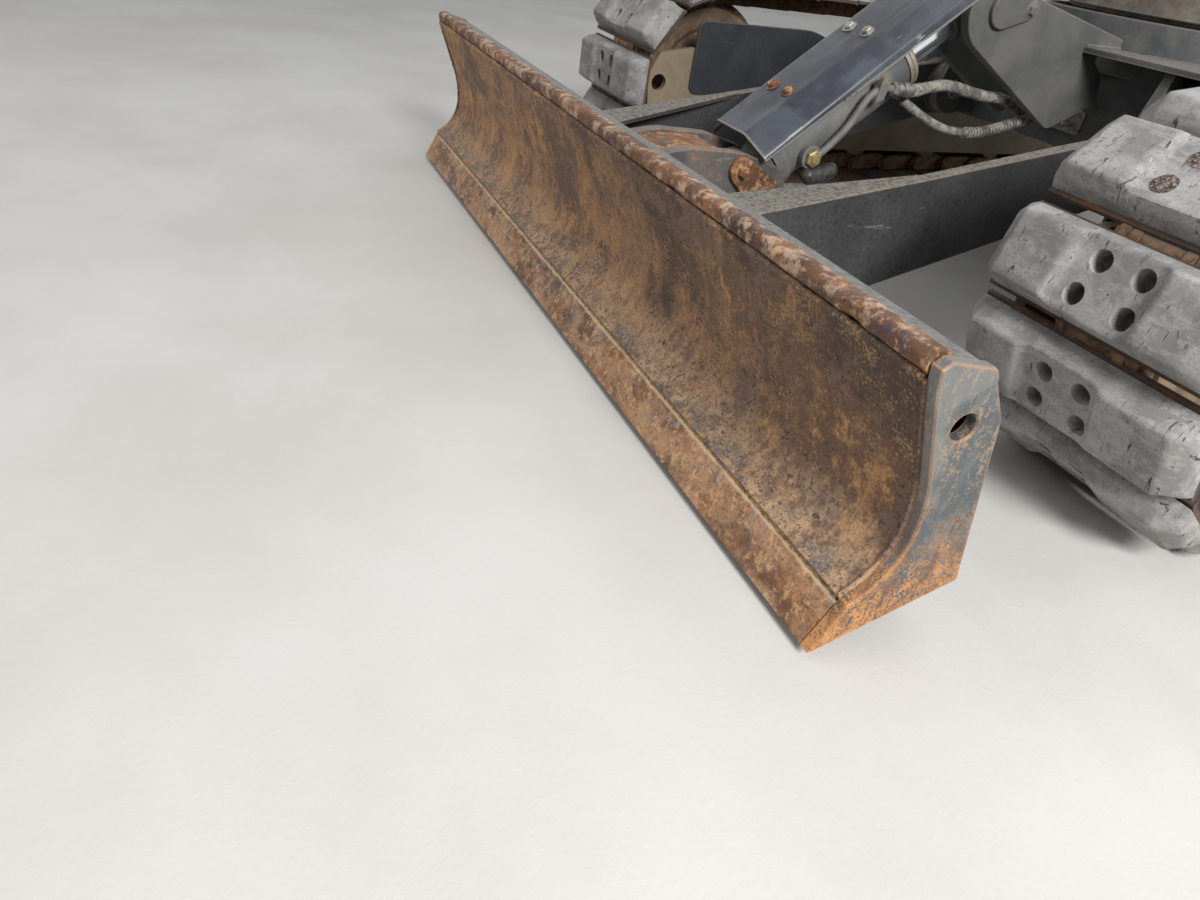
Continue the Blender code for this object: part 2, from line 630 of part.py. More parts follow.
ear_outer = EAR_INNER + EAR_THICK
drum_corner = sqrt(DRUM_RADIUS ** 2 - (SLEW_Y - BOX_FRONT) ** 2) + 0.008
deck_inner = ear_outer + SEAT
deck_rear = SLEW_Y - sqrt(DRUM_RADIUS ** 2 - deck_inner ** 2) - 0.001
deck_outline = [(deck_inner, DECK_FRONT), (DECK_HALF, DECK_FRONT), (DECK_HALF, BOX_FRONT - SEAT),
                (drum_corner, BOX_FRONT - SEAT), (deck_inner, deck_rear)]
bracket_top = DECK_TOP - DECK_THICK + 0.005
bracket = [(BOX_FRONT - SEAT, BOX_BASE + 0.010), (BOX_FRONT - SEAT, bracket_top),
           (DECK_FRONT + 0.033, bracket_top), *arc(ARM_PIVOT, ARM_BOSS_R, pi, 3 * pi / 2 + 0.5, 8)]
for side, sign in SIDES.items():
    deck = flat_plate([(sign * x, y) for x, y in deck_outline], DECK_TOP - DECK_THICK, DECK_TOP)
    brackets = []
    for inner in (-1, 1):
        near = ARM_BOSS_HALF + RUN
        x = sorted((sign * ARM_X + inner * near, sign * ARM_X + inner * (near + BRACKET_THICK)))
        brackets.append(side_plate(bracket, *x, [circle(ARM_PIVOT, ARM_PIN_R + SEAT, 20)]))
    piece(f"front_deck_{side}", deck, PAINT, machine, add=brackets)

# Belly cover under the box

cover = [(-COVER_HALF, BOX_FRONT + COVER_INSET), (COVER_HALF, BOX_FRONT + COVER_INSET),
         (COVER_HALF, BOX_REAR - COVER_INSET), (-COVER_HALF, BOX_REAR - COVER_INSET)]
piece("belly_cover", flat_plate(cover, BOX_BASE - SEAT - COVER_THICK, BOX_BASE - SEAT), PAINT, machine)

# Slewing ring: the geared inner race is fixed, the outer race turns

centre = (0.0, SLEW_Y)
gear = []
for tooth in range(GEAR_TEETH):
    base = 2 * pi * tooth / GEAR_TEETH
    for share, radius in ((-0.30, INNER_RACE_R), (-0.12, INNER_RACE_R - GEAR_DEPTH),
                          (0.12, INNER_RACE_R - GEAR_DEPTH), (0.30, INNER_RACE_R)):
        angle = base + share * 2 * pi / GEAR_TEETH
        gear.append((radius * cos(angle), SLEW_Y + radius * sin(angle)))
inner_race = flat_plate(circle(centre, RACE_SPLIT_R - RACE_GAP, RACE_STEPS), DRUM_TOP + SEAT,
                        INNER_RACE_TOP, [gear])
piece("slew_inner_race", inner_race, CAST, machine)
bolt_holes = [circle((BOLT_CIRCLE * cos(2 * pi * i / BOLT_COUNT),
                      BOLT_CIRCLE * sin(2 * pi * i / BOLT_COUNT)), BOLT_HOLE, 6)
              for i in range(BOLT_COUNT)]
outer_race = flat_plate(circle((0.0, 0.0), OUTER_RACE_R, 40), DRUM_TOP + RACE_LIFT, RACE_TOP,
                        [circle((0.0, 0.0), RACE_SPLIT_R, RACE_STEPS), *bolt_holes])
piece("slew_outer_race", outer_race, CAST, slew_axis)

# Swivel joint, standing in the well

swivel_profile = [(WELL_FLOOR + SEAT, 0.0), (WELL_FLOOR + SEAT, 0.120), (WELL_FLOOR + 0.020, 0.120),
                  (WELL_FLOOR + 0.020, SWIVEL_RADIUS), (SWIVEL_TOP - 0.110, SWIVEL_RADIUS),
                  (SWIVEL_TOP - 0.110, SWIVEL_RADIUS - 0.012), (SWIVEL_TOP - 0.090, SWIVEL_RADIUS - 0.012),
                  (SWIVEL_TOP - 0.090, SWIVEL_RADIUS), (SWIVEL_TOP, SWIVEL_RADIUS), (SWIVEL_TOP, 0.0)]
swivel = turned(swivel_profile, "z", (0.0, SLEW_Y, 0.0), 20)
piece("swivel_joint", swivel, STEEL, machine)

# Ears that carry the blade cylinder's upper pin

ear_rear = SLEW_Y - sqrt(DRUM_RADIUS ** 2 - EAR_INNER ** 2) - SEAT
ear_outline = (arc(UPPER_PIN, EAR_TOP_R, radians(78), radians(135), 3)
               + arc(UPPER_PIN, EAR_NOSE_R, radians(158), radians(242.7), 6)
               + [(1.352, 0.462), (1.497, 0.533), (1.476, 0.596), (1.452, 0.617),
                  (1.428, 0.630), (1.428, DECK_TOP + SEAT), (ear_rear, DECK_TOP + SEAT), (ear_rear, 0.687),
                  (1.168, 0.751)])
boss_reach = EAR_INNER - ROD_EYE_HALF - RUN
for side, sign in SIDES.items():
    x = sorted((sign * EAR_INNER, sign * (EAR_INNER + EAR_THICK)))
    plate = side_plate(ear_outline, *x)
    boss = rod("x", (0.0, *UPPER_PIN), EYE_R - 0.006, *sorted(
        (sign * (ROD_EYE_HALF + RUN), sign * (EAR_INNER + 0.010))), 28)
    piece(f"lift_ear_{side}", plate, PAINT, machine, add=[boss])


def capsule(near, near_r, far, far_r, steps=8):
    """Outline round two circles of unlike radius, joined by their common tangents."""
    heading = atan2(far[1] - near[1], far[0] - near[0])
    lean = acos((near_r - far_r) / hypot(far[0] - near[0], far[1] - near[1]))
    return (arc(near, near_r, heading + lean, heading + 2 * pi - lean, 2 * steps)
            + arc(far, far_r, heading - lean, heading + lean, steps))


UPPER_BOLT = (1.132, 0.729)
LOWER_BOLT = (0.436, 0.347)
keeper = side_plate(capsule(UPPER_PIN, 0.040, UPPER_BOLT, 0.021), ear_outer + SEAT,
                    ear_outer + SEAT + KEEPER_THICK)
bolt = rod("x", (ear_outer + SEAT, *UPPER_BOLT), 0.013, KEEPER_THICK - 0.001, KEEPER_THICK + 0.011, 6)
piece("upper_pin_keeper", keeper, PAINT, machine, add=[bolt])
cap = rod("x", (-ear_outer - SEAT, *UPPER_PIN), 0.042, -0.010, 0.0, 24)
piece("upper_pin_head", cap, PAINT, machine)

# Moldboard, drawn up its front face from the cutting edge to the lip

lower_centre = (BOARD_BACK - LOWER_CURVE_R, BOARD_BACK_Z)
upper_centre = (BOARD_BACK - UPPER_CURVE_R, BOARD_BACK_Z)
face = arc(lower_centre, LOWER_CURVE_R, -LOWER_CURVE_TURN, 0.0, 7)
face += arc(upper_centre, UPPER_CURVE_R, 0.0, UPPER_CURVE_TURN, 3)[1:]
board_end = BOARD_TOP - SEAT - BOARD_THICK * sin(UPPER_CURVE_TURN)
straight = board_end - face[-1][1]
face.append((face[-1][0] - straight * tan(UPPER_CURVE_TURN), board_end))
half_width = BLADE_WIDTH / 2 - END_PLATE_THICK - SEAT
board = side_plate(band(face, BOARD_THICK), -half_width, half_width)
piece("moldboard", on_blade(board), RUST, blade_pivot)

# Lip along the top

lip_front = face[-1][0] - 0.006
lip_back = lip_front + LIP_DEPTH
lip = []
for y, z, turn in ((lip_back, BOARD_TOP, -90), (lip_back, LIP_TOP, 0),
                   (lip_front, LIP_TOP, 90), (lip_front, BOARD_TOP, 180)):
    round_y = y - LIP_ROUND if y == lip_back else y + LIP_ROUND
    round_z = z - LIP_ROUND if z == LIP_TOP else z + LIP_ROUND
    lip += arc((round_y, round_z), LIP_ROUND, radians(turn), radians(turn + 90), 3)
piece("blade_lip", on_blade(side_plate(lip, -half_width, half_width)), RUST, blade_pivot)

# Cutting edge, a flat bar cut off square to the ground at its foot

edge_up = Vector((cos(EDGE_SLOPE), sin(EDGE_SLOPE)))
edge_back = Vector((sin(EDGE_SLOPE), -cos(EDGE_SLOPE)))
tip = Vector((0.0, EDGE_BASE))
FOOT_RISE = 0.364        # slope of the blade's underside
back_line = tip + edge_back * EDGE_THICK
foot_shift = (FOOT_RISE * back_line.x - back_line.y + tip.y) / (edge_up.y - FOOT_RISE * edge_up.x)
foot = back_line + edge_up * foot_shift
crest = tip + edge_up * EDGE_HEIGHT
edge = [tuple(tip), tuple(crest), tuple(crest + edge_back * EDGE_THICK), tuple(foot)]
piece("cutting_edge", on_blade(side_plate(edge, -half_width, half_width)), RUST, blade_pivot)

# Back of the blade: one bent plate from the lip over the top, down and under

BACK_TOP = (0.127, 0.4370)
BACK_SHOULDER = (0.143, 0.417)
BACK_WAIST = (0.167, 0.370)
BACK_HEEL = (0.230, 0.096)
BACK_CUT = 0.0024        # the plate's square ends start this far from the lip
foot_gap = 0.0115        # and this far from the cutting edge's foot
under = Vector((1.0, FOOT_RISE)).normalized()
back_path = [(lip_back + BACK_CUT, LIP_TOP - LIP_ROUND - 0.001), BACK_TOP, BACK_SHOULDER, BACK_WAIST,
             BACK_HEEL, tuple(foot + under * foot_gap)]
back = side_plate(band(back_path, BACK_THICK), -half_width, half_width)
piece("blade_back", on_blade(back), PAINT, blade_pivot)

# End plates with a lifting hole

end_outline = ([tuple(tip), tuple(crest)] + face[:-1]
               + [(face[-1][0], BOARD_TOP), (lip_front + 0.003, LIP_TOP - 0.012),
                  (lip_front + 0.016, LIP_TOP - 0.003), BACK_TOP, BACK_SHOULDER, BACK_WAIST, BACK_HEEL])
for side, sign in SIDES.items():
    x = sorted((sign * (BLADE_WIDTH / 2 - END_PLATE_THICK), sign * BLADE_WIDTH / 2))
    plate = side_plate(end_outline, *x, [circle((0.108, 0.366), LIFT_HOLE_R, 20)])
    piece(f"end_plate_{side}", on_blade(plate), BLUE_GREY, blade_pivot)

# Push arms: thick plates with a boss at the rear and a gusset on top beside the blade


def back_y(z):
    """Where the blade's back face stands at a height, with the seat gap."""
    share = (z - BACK_HEEL[1]) / (BACK_WAIST[1] - BACK_HEEL[1])
    return BACK_HEEL[0] + share * (BACK_WAIST[0] - BACK_HEEL[0]) + SEAT


ARM_TOP_FRONT = 0.330
ARM_BASE_FRONT = 0.110
arm_outline = ([(back_y(ARM_BASE_FRONT), ARM_BASE_FRONT), (0.620, 0.180), (1.040, 0.300)]
               + arc(ARM_PIVOT, ARM_BOSS_R, radians(-68), radians(98), 9)
               + [(1.090, 0.492), (0.710, 0.422), (back_y(ARM_TOP_FRONT), ARM_TOP_FRONT)])
for side, sign in SIDES.items():
    x = (sign * ARM_X - ARM_THICK / 2, sign * ARM_X + ARM_THICK / 2)
    plate = side_plate(arm_outline, *x)
    boss = rod("x", (sign * ARM_X, *ARM_PIVOT), ARM_BOSS_R, -ARM_BOSS_HALF, ARM_BOSS_HALF, 24)
    slope = (0.422 - ARM_TOP_FRONT) / (0.710 - back_y(ARM_TOP_FRONT))
    gusset_front = back_y(ARM_TOP_FRONT) + SEAT
    inner_face = sign * (ARM_X - ARM_THICK / 2 + 0.004)
    gusset = flat_plate([(inner_face, gusset_front), (inner_face - sign * GUSSET_REACH, gusset_front),
                         (inner_face - sign * GUSSET_REACH, gusset_front + 0.030),
                         (inner_face, 0.700)], -GUSSET_THICK, 0.0)
    for vert in gusset.vertices:
        front = vert.co.y < gusset_front + 0.001
        height = ARM_TOP_FRONT + GUSSET_PROUD + slope * (vert.co.y - gusset_front)
        if vert.co.z < -GUSSET_THICK / 2 and front:
            vert.co.y = back_y(height - GUSSET_THICK) + SEAT
        vert.co.z += height
    hole = rod("x", (sign * ARM_X, *ARM_PIVOT), ARM_PIN_R + BORE_RUN, -0.090, 0.090, 20)
    for mesh in (plate, boss, gusset, hole):
        on_blade(mesh)
    piece(f"push_arm_{side}", plate, PAINT, blade_pivot, add=[boss, gusset], cut=[hole])
    reach = ARM_BOSS_HALF + RUN + BRACKET_THICK
    pin = rod("x", (sign * ARM_X, *ARM_PIVOT), ARM_PIN_R, -reach - 0.006, reach + 0.006, 20)
    piece(f"arm_pin_{side}", pin, STEEL, machine)

# Blade ears that carry the cylinder's lower pin, with a web between them

clevis_outline = ([(back_y(0.160), 0.160)]
                  + arc(LOWER_PIN, CLEVIS_R, radians(-100), radians(75), 9)
                  + [(0.420, 0.385), (0.300, 0.392), (back_y(0.368), 0.368)])
clevis_outer = CLEVIS_INNER + CLEVIS_THICK
for side, sign in SIDES.items():
    x = sorted((sign * CLEVIS_INNER, sign * clevis_outer))
    hole = rod("x", (0.0, *LOWER_PIN), PIN_R + SEAT, *sorted((sign * 0.050, sign * 0.120)), 24)
    piece(f"blade_ear_{side}", on_blade(side_plate(clevis_outline, *x)), PAINT, blade_pivot,
          cut=[on_blade(hole)])
web = [(back_y(0.352), 0.352), (back_y(0.366), 0.366), (0.300, 0.386), (0.400, 0.380),
       (0.400, 0.366), (0.300, 0.372)]
web_half = CLEVIS_INNER - SEAT
piece("blade_ear_web", on_blade(side_plate(web, -web_half, web_half)), RUST, blade_pivot)

pin = rod("x", (0.0, *LOWER_PIN), PIN_R, -clevis_outer - 0.008, clevis_outer + 0.004, 24)
keeper = side_plate(capsule(LOWER_PIN, 0.042, LOWER_BOLT, 0.030), clevis_outer + SEAT,
                    clevis_outer + SEAT + KEEPER_THICK)
bolt = rod("x", (clevis_outer, *LOWER_BOLT), 0.015, KEEPER_THICK - 0.001, KEEPER_THICK + 0.014, 6)
for mesh in (pin, keeper, bolt):
    on_blade(mesh)
piece("lower_pin", keeper, RUST, blade_pivot, add=[pin, bolt])

# Blade cylinder, drawn from the lower pin: y along the rod, z square to it


def in_cylinder(point):
    """A point of the cutting edge's frame, as seen from the lower pin along the cylinder."""
    x, y, z = point
    dy = y - LOWER_PIN[0]
    dz = z - LOWER_PIN[1]
    return (x, dy * cos(CYLINDER_TILT) + dz * sin(CYLINDER_TILT),
            dz * cos(CYLINDER_TILT) - dy * sin(CYLINDER_TILT))


bore_line = [(ROD_START - 0.130, 0.0), (ROD_START - 0.130, ROD_R + BORE_RUN),
             (BARREL_END + 0.010, ROD_R + BORE_RUN), (BARREL_END + 0.010, 0.0)]
eye = rod("x", (0.0, 0.0, 0.0), EYE_R, -BARREL_EYE_HALF, BARREL_EYE_HALF, 28)
shell_start = 0.030
barrel_profile = [(shell_start, 0.0), (shell_start, 0.050), (0.072, 0.062), (0.072, BARREL_R + 0.006),
                  (0.072 + COLLAR_LENGTH, BARREL_R + 0.006), (0.072 + COLLAR_LENGTH, BARREL_R),
                  (BARREL_END - GLAND_LENGTH, BARREL_R), (BARREL_END - GLAND_LENGTH, 0.0)]
shell = turned(barrel_profile, "y", (0.0, 0.0, 0.0), 28)
_, port_along, port_up = in_cylinder((0.0, *ROD_PORT))
port = rod("x", (0.0, port_along, port_up), 0.016, 0.040, 0.075, 6)
bore = turned(bore_line, "y", (0.0, 0.0, 0.0), 24)
pin_hole = rod("x", (0.0, 0.0, 0.0), PIN_R + BORE_RUN, -0.090, 0.090, 24)
piece("cylinder_barrel", shell, PAINT, barrel_pivot, add=[eye, port], cut=[bore, pin_hole],
      solver="MANIFOLD")
gland_start = BARREL_END - GLAND_LENGTH + SEAT
gland_profile = [(gland_start, ROD_R + BORE_RUN), (gland_start, BARREL_R + 0.004),
                 (BARREL_END - 0.004, BARREL_R + 0.004), (BARREL_END, BARREL_R),
                 (BARREL_END, ROD_R + BORE_RUN)]
piece("cylinder_gland", turned(gland_profile, "y", (0.0, 0.0, 0.0), 28), CAST, barrel_pivot)

rod_end = PIN_SPAN - EYE_R + 0.010
rod_profile = [(ROD_START, 0.0), (ROD_START, ROD_R - 0.003), (ROD_START + 0.003, ROD_R),
               (rod_end, ROD_R), (rod_end, 0.0)]
rod_eye = rod("x", (0.0, PIN_SPAN, 0.0), EYE_R, -ROD_EYE_HALF, ROD_EYE_HALF, 28)
socket_end = PIN_SPAN - 0.030
socket = turned([(PIN_SPAN - EYE_R - 0.022, 0.0), (PIN_SPAN - EYE_R - 0.022, ROD_R + 0.006),
                 (socket_end, ROD_EYE_HALF - 0.001), (socket_end, 0.0)], "y", (0.0, 0.0, 0.0), 24)
piece("cylinder_rod", turned(rod_profile, "y", (0.0, 0.0, 0.0), 24), CHROME, rod_line,
      add=[socket, rod_eye])

# Guard over the cylinder: a folded sheet on four stand-offs

guard_half = [(0.064, GUARD_TOP), (0.122, GUARD_TOP - 0.040), (0.125, GUARD_TOP - 0.055)]
guard_line = [(-x, z) for x, z in reversed(guard_half)] + guard_half
guard = outline_mesh(band(guard_line, GUARD_THICK), GUARD_END - GUARD_START)
guard.transform(Matrix(((1, 0, 0, 0), (0, 0, -1, (GUARD_START + GUARD_END) / 2), (0, 1, 0, 0),
                        (0, 0, 0, 1))))
GUARD_BOLTS = [(x, along) for along in (0.176, 0.398) for x in (-0.033, 0.033)]
posts = []
for x, along in GUARD_BOLTS:
    foot_z = sqrt((BARREL_R + SEAT) ** 2 - (abs(x) - 0.010) ** 2)
    posts.append(rod("z", (x, along, 0.0), 0.010, foot_z, GUARD_TOP - GUARD_THICK + 0.001, 10))
    posts.append(rod("z", (x, along, 0.0), 0.012, GUARD_TOP - 0.001, GUARD_TOP + 0.009, 6))
piece("cylinder_guard", guard, PAINT, barrel_pivot, add=posts)

# Steel line along the barrel, from the banjo at its base to the upper hose's ferrule

_, banjo_along, banjo_up = in_cylinder((0.0, *BANJO))
block = rod("x", (0.0, banjo_along, banjo_up), 0.017, BARREL_R + 2 * SEAT, 0.098, 6)
pipe_route = [(0.088, 0.645, 0.377), (0.088, 0.665, 0.392), (0.088, 0.693, 0.420),
              (0.088, 0.717, 0.451), (0.089, 0.735, 0.488), (0.090, 0.755, 0.520),
              (0.090, 0.787, 0.536), (0.090, FERRULE_Y - 0.012, 0.536),
              (0.090, FERRULE_Y, 0.536)]
pipe = tube([in_cylinder(p) for p in smooth(pipe_route, 14)], PIPE_R, 2)
piece("steel_line", block, PAINT, barrel_pivot, add=[pipe])

# Two hoses, from the cylinder back between the ears to the fittings on the centre frame.
# Each ends on the line of the blade's pivots, where the machine bends least.

HOSE_ENDS = {"upper": 0.004, "lower": 0.040}
hose_routes = {
    "upper": [(0.090, FERRULE_Y + SEAT, 0.536), (0.090, 0.850, 0.536), (0.090, 0.880, 0.536),
              (0.086, 0.920, 0.543),
              (0.074, 0.975, 0.548), (0.065, 1.030, 0.544), (0.058, 1.090, 0.534),
              (0.052, 1.150, 0.526), (0.043, 1.210, 0.522), (0.028, 1.275, 0.507),
              (0.011, 1.335, 0.485), (0.004, 1.385, 0.475), (HOSE_ENDS["upper"], *ARM_PIVOT)],
    "lower": [(0.068, 0.8720, 0.5115), (0.070, 0.890, 0.500), (0.073, 0.924, 0.484),
              (0.074, 0.975, 0.464), (0.069, 1.037, 0.447), (0.064, 1.102, 0.440),
              (0.058, 1.170, 0.441), (0.052, 1.239, 0.453), (0.046, 1.305, 0.468),
              (0.040, 1.375, 0.475), (HOSE_ENDS["lower"], *ARM_PIVOT)],
}
HOSE_R = {"upper": 0.0135, "lower": 0.0100}
for name, route in hose_routes.items():
    hose = tube([in_cylinder(p) for p in smooth(route, 20)], HOSE_R[name], 2)
    piece(f"hose_{name}", hose, HOSE, barrel_pivot)

wall = BOX_FRONT - SEAT
plate = box((-0.030, wall - 0.010, ARM_PIVOT[1] - 0.030), (0.072, wall, ARM_PIVOT[1] + 0.030))
stubs = []
for x in HOSE_ENDS.values():
    stubs.append(rod("y", (x, 0.0, ARM_PIVOT[1]), 0.013, ARM_PIVOT[0] + 0.001, wall - 0.005, 12))
piece("hose_fittings", plate, STEEL, machine, add=stubs)
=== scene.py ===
import math

import bmesh
import bpy
import numpy as np
from mathutils import Matrix, Vector
from mathutils.geometry import tessellate_polygon


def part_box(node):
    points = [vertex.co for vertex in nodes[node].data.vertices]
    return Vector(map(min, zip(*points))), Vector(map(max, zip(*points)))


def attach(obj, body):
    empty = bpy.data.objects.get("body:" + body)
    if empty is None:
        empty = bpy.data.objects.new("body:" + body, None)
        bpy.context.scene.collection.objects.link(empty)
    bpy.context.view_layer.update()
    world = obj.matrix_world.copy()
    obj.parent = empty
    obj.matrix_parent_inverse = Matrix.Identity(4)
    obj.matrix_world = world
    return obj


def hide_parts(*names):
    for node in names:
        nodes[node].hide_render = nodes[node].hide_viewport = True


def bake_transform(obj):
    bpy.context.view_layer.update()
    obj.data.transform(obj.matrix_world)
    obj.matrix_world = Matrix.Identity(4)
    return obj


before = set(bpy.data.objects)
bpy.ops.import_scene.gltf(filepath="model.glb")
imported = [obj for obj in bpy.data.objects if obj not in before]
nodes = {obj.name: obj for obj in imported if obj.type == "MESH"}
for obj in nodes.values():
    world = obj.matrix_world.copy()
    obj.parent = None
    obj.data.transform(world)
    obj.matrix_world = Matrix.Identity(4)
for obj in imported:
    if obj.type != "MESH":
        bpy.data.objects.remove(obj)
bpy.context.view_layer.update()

# Camera: a wide lens, low and just outside the blade's right-hand end, looking down and back across
# the machine. Lens and place come from the photograph's perspective.

FOCAL = 24.516
VIEWPOINT = (1.71402, -2.34401, 0.82065)
SIGHT_RIGHT = Vector((0.3791956, 0.9166344, 0.1264595))
SIGHT_DOWN = Vector((0.5586136, -0.1178206, -0.8210172))
SIGHT = Vector((-0.7376731, 0.3819682, -0.5567214))

lens = bpy.data.cameras.new("camera")
lens.sensor_width = 36.0
lens.lens = FOCAL
lens.clip_start = 0.02
camera = bpy.data.objects.new("camera", lens)
turn = Matrix((SIGHT_RIGHT, -SIGHT_DOWN, -SIGHT)).transposed()
camera.matrix_world = Matrix.Translation(VIEWPOINT) @ turn.to_4x4()
bpy.context.scene.collection.objects.link(camera)
bpy.context.scene.camera = camera


# Floor: a pale, level yard of fine concrete with faint clouds in it. It is a stage, so it isn't part of
# the machine. The classes that make every finish come here, because the floor is the first to need them.

class Signal:
    """What a socket of a finish carries. Arithmetic on it adds Math nodes."""

    def __init__(self, finish, socket):
        self.finish = finish
        self.socket = socket

    def _math(self, operation, *terms):
        return self.finish.node("ShaderNodeMath", {"operation": operation}, dict(enumerate(terms)))

    def __add__(self, other):
        return self._math("ADD", self, other)

    def __sub__(self, other):
        return self._math("SUBTRACT", self, other)

    def __rsub__(self, other):
        return self._math("SUBTRACT", other, self)

    def __mul__(self, other):
        return self._math("MULTIPLY", self, other)

    __radd__ = __add__
    __rmul__ = __mul__

    def rise(self, low, high):
        """0 below low, 1 above high and a smooth step between. low may be the larger."""
        return self.finish.node("ShaderNodeMapRange", {"interpolation_type": "SMOOTHSTEP"},
                                {"Value": self, "From Min": low, "From Max": high}, "Result")


class Finish:
    """A procedural material on Object coordinates, which are the machine's own metres."""

    def __init__(self, name):
        self.material = bpy.data.materials.new(name)
        self.material.use_nodes = True
        self.tree = self.material.node_tree
        self.shader = self.tree.nodes["Principled BSDF"]
        self.place = self.node("ShaderNodeTexCoord", {}, {}, "Object")

    def node(self, kind, settings, sockets, output=0):
        """A node of any kind, its settings made first, then its sockets' values or links."""
        made = self.tree.nodes.new(kind)
        for name, value in settings.items():
            setattr(made, name, value)
        for name, value in sockets.items():
            self.feed(made.inputs[name], value)
        return Signal(self, made.outputs[output])

    def feed(self, socket, value):
        if isinstance(value, Signal):
            self.tree.links.new(value.socket, socket)
        elif isinstance(value, tuple) and len(value) == 3 and socket.type == "RGBA":
            socket.default_value = (*value, 1.0)
        else:
            socket.default_value = value

    def noise(self, scale, detail=4.0, roughness=0.6, along=None, warp=0.0):
        """Fractal noise from 0 to 1. along multiplies each axis first, so that the pattern is drawn out
        along the axes with small numbers."""
        place = self.place
        if along:
            place = self.node("ShaderNodeMapping", {}, {"Vector": place, "Scale": along}, "Vector")
        return self.node("ShaderNodeTexNoise", {}, {"Vector": place, "Scale": scale, "Detail": detail,
                                                   "Roughness": roughness, "Distortion": warp}, "Fac")

    def axis(self, name):
        return self.node("ShaderNodeSeparateXYZ", {}, {"Vector": self.place}, name)

    def blend(self, below, above, share):
        """One colour laid over another, by a share from 0 to 1."""
        return self.node("ShaderNodeMix", {"data_type": "RGBA"}, {0: share, 6: below, 7: above}, 2)

    def coats(self, tone, *layers):
        """A tone with layers laid over it in turn, each a colour with the share that it covers."""
        for colour, share in layers:
            tone = self.blend(tone, colour, share)
        return tone

    def edges(self, radius):
        """1 along the piece's arrises, 0 on its flats: how far a rounded normal leaves the true one."""
        rounded = self.node("ShaderNodeBevel", {"samples": 4}, {"Radius": radius}, "Normal")
        true = self.node("ShaderNodeNewGeometry", {}, {}, "Normal")
        agreement = self.node("ShaderNodeVectorMath", {"operation": "DOT_PRODUCT"},
                              {0: rounded, 1: true}, "Value")
        return (1.0 - agreement).rise(0.015, 0.16)

    def facing_up(self):
        """1 on faces that look upwards, where dust settles, and 0 on walls and undersides."""
        normal = self.node("ShaderNodeNewGeometry", {}, {}, "Normal")
        return self.node("ShaderNodeSeparateXYZ", {}, {"Vector": normal}, "Z").rise(0.25, 0.95)

    def close(self, colour, roughness, metallic=0.0, relief=None, depth=0.001):
        """Feeds the shader. Relief is a height from 0 to 1, and depth what 1 stands for in metres."""
        self.feed(self.shader.inputs["Base Color"], colour)
        self.feed(self.shader.inputs["Roughness"], roughness)
        self.feed(self.shader.inputs["Metallic"], metallic)
        if relief is not None:
            bump = self.node("ShaderNodeBump", {}, {"Height": relief, "Distance": depth, "Strength": 1.0},
                             "Normal")
            self.feed(self.shader.inputs["Normal"], bump)
        return self.material


FLOOR_PALE = (0.66, 0.645, 0.61)
FLOOR_WARM = (0.58, 0.56, 0.52)
FLOOR_REACH = 30.0
FLOOR_DROP = 0.0005       # keeps the floor's face clear of the tracks' underside

yard = Finish("yard")
patches = yard.noise(1.3, 5.0)
grit = yard.noise(90.0, 3.0)
yard_finish = yard.close(yard.blend(FLOOR_WARM, FLOOR_PALE, patches.rise(0.3, 0.7)), 0.9,
                         relief=grit, depth=0.0006)
ground = bpy.data.meshes.new("yard")
corners = [(-1, -1), (1, -1), (1, 1), (-1, 1)]
ground.from_pydata([(x * FLOOR_REACH, y * FLOOR_REACH, 0) for x, y in corners], [], [(0, 1, 2, 3)])
ground.materials.append(yard_finish)
floor = bpy.data.objects.new("yard", ground)
floor.location.z = -FLOOR_DROP
bpy.context.scene.collection.objects.link(floor)

# Studio light: a broad low key from the machine's right, a wide fill over the blade, one lamp above,
# one behind, and a pale sky.

LAMPS = (   # name, place, aim, width, power
    ("key", (4.6, -1.9, 3.3), (0.0, -0.6, 0.3), 1.6, 300.0),
    ("fill", (-1.5, -5.2, 3.6), (0.0, -0.8, 0.2), 3.2, 40.0),
    ("top", (0.3, 0.6, 5.0), (0.0, 0.2, 0.0), 4.0, 45.0),
    ("rear", (-2.5, 4.8, 3.0), (0.0, 0.6, 0.3), 3.0, 60.0),
)
for name, place, aim, width, power in LAMPS:
    glow = bpy.data.lights.new(name, "AREA")
    glow.size = width
    glow.energy = power
    lamp = bpy.data.objects.new(name, glow)
    lamp.location = place
    lamp.rotation_euler = (Vector(aim) - Vector(place)).to_track_quat("-Z", "Y").to_euler()
    bpy.context.scene.collection.objects.link(lamp)

sky = bpy.data.worlds.new("sky")
sky.use_nodes = True
SKY_LIGHT = (0.86, 0.90, 0.96)
SKY_STRENGTH = 0.34
SKY_SEEN = (0.93, 0.93, 0.93)
tree = sky.node_tree
tree.nodes.clear()
lit = tree.nodes.new("ShaderNodeBackground")
lit.inputs["Color"].default_value = (*SKY_LIGHT, 1.0)
lit.inputs["Strength"].default_value = SKY_STRENGTH
seen = tree.nodes.new("ShaderNodeBackground")
seen.inputs["Color"].default_value = (*SKY_SEEN, 1.0)
seen.inputs["Strength"].default_value = 1.0
path = tree.nodes.new("ShaderNodeLightPath")
either = tree.nodes.new("ShaderNodeMixShader")
out = tree.nodes.new("ShaderNodeOutputWorld")
shown = path.outputs["Is Camera Ray"]
for ray in ("Is Glossy Ray", "Is Transmission Ray"):
    larger = tree.nodes.new("ShaderNodeMath")
    larger.operation = "MAXIMUM"
    tree.links.new(shown, larger.inputs[0])
    tree.links.new(path.outputs[ray], larger.inputs[1])
    shown = larger.outputs[0]
tree.links.new(shown, either.inputs[0])
tree.links.new(lit.outputs[0], either.inputs[1])
tree.links.new(seen.outputs[0], either.inputs[2])
tree.links.new(either.outputs[0], out.inputs[0])
bpy.context.scene.world = sky
bpy.context.scene.view_settings.view_transform = "Standard"

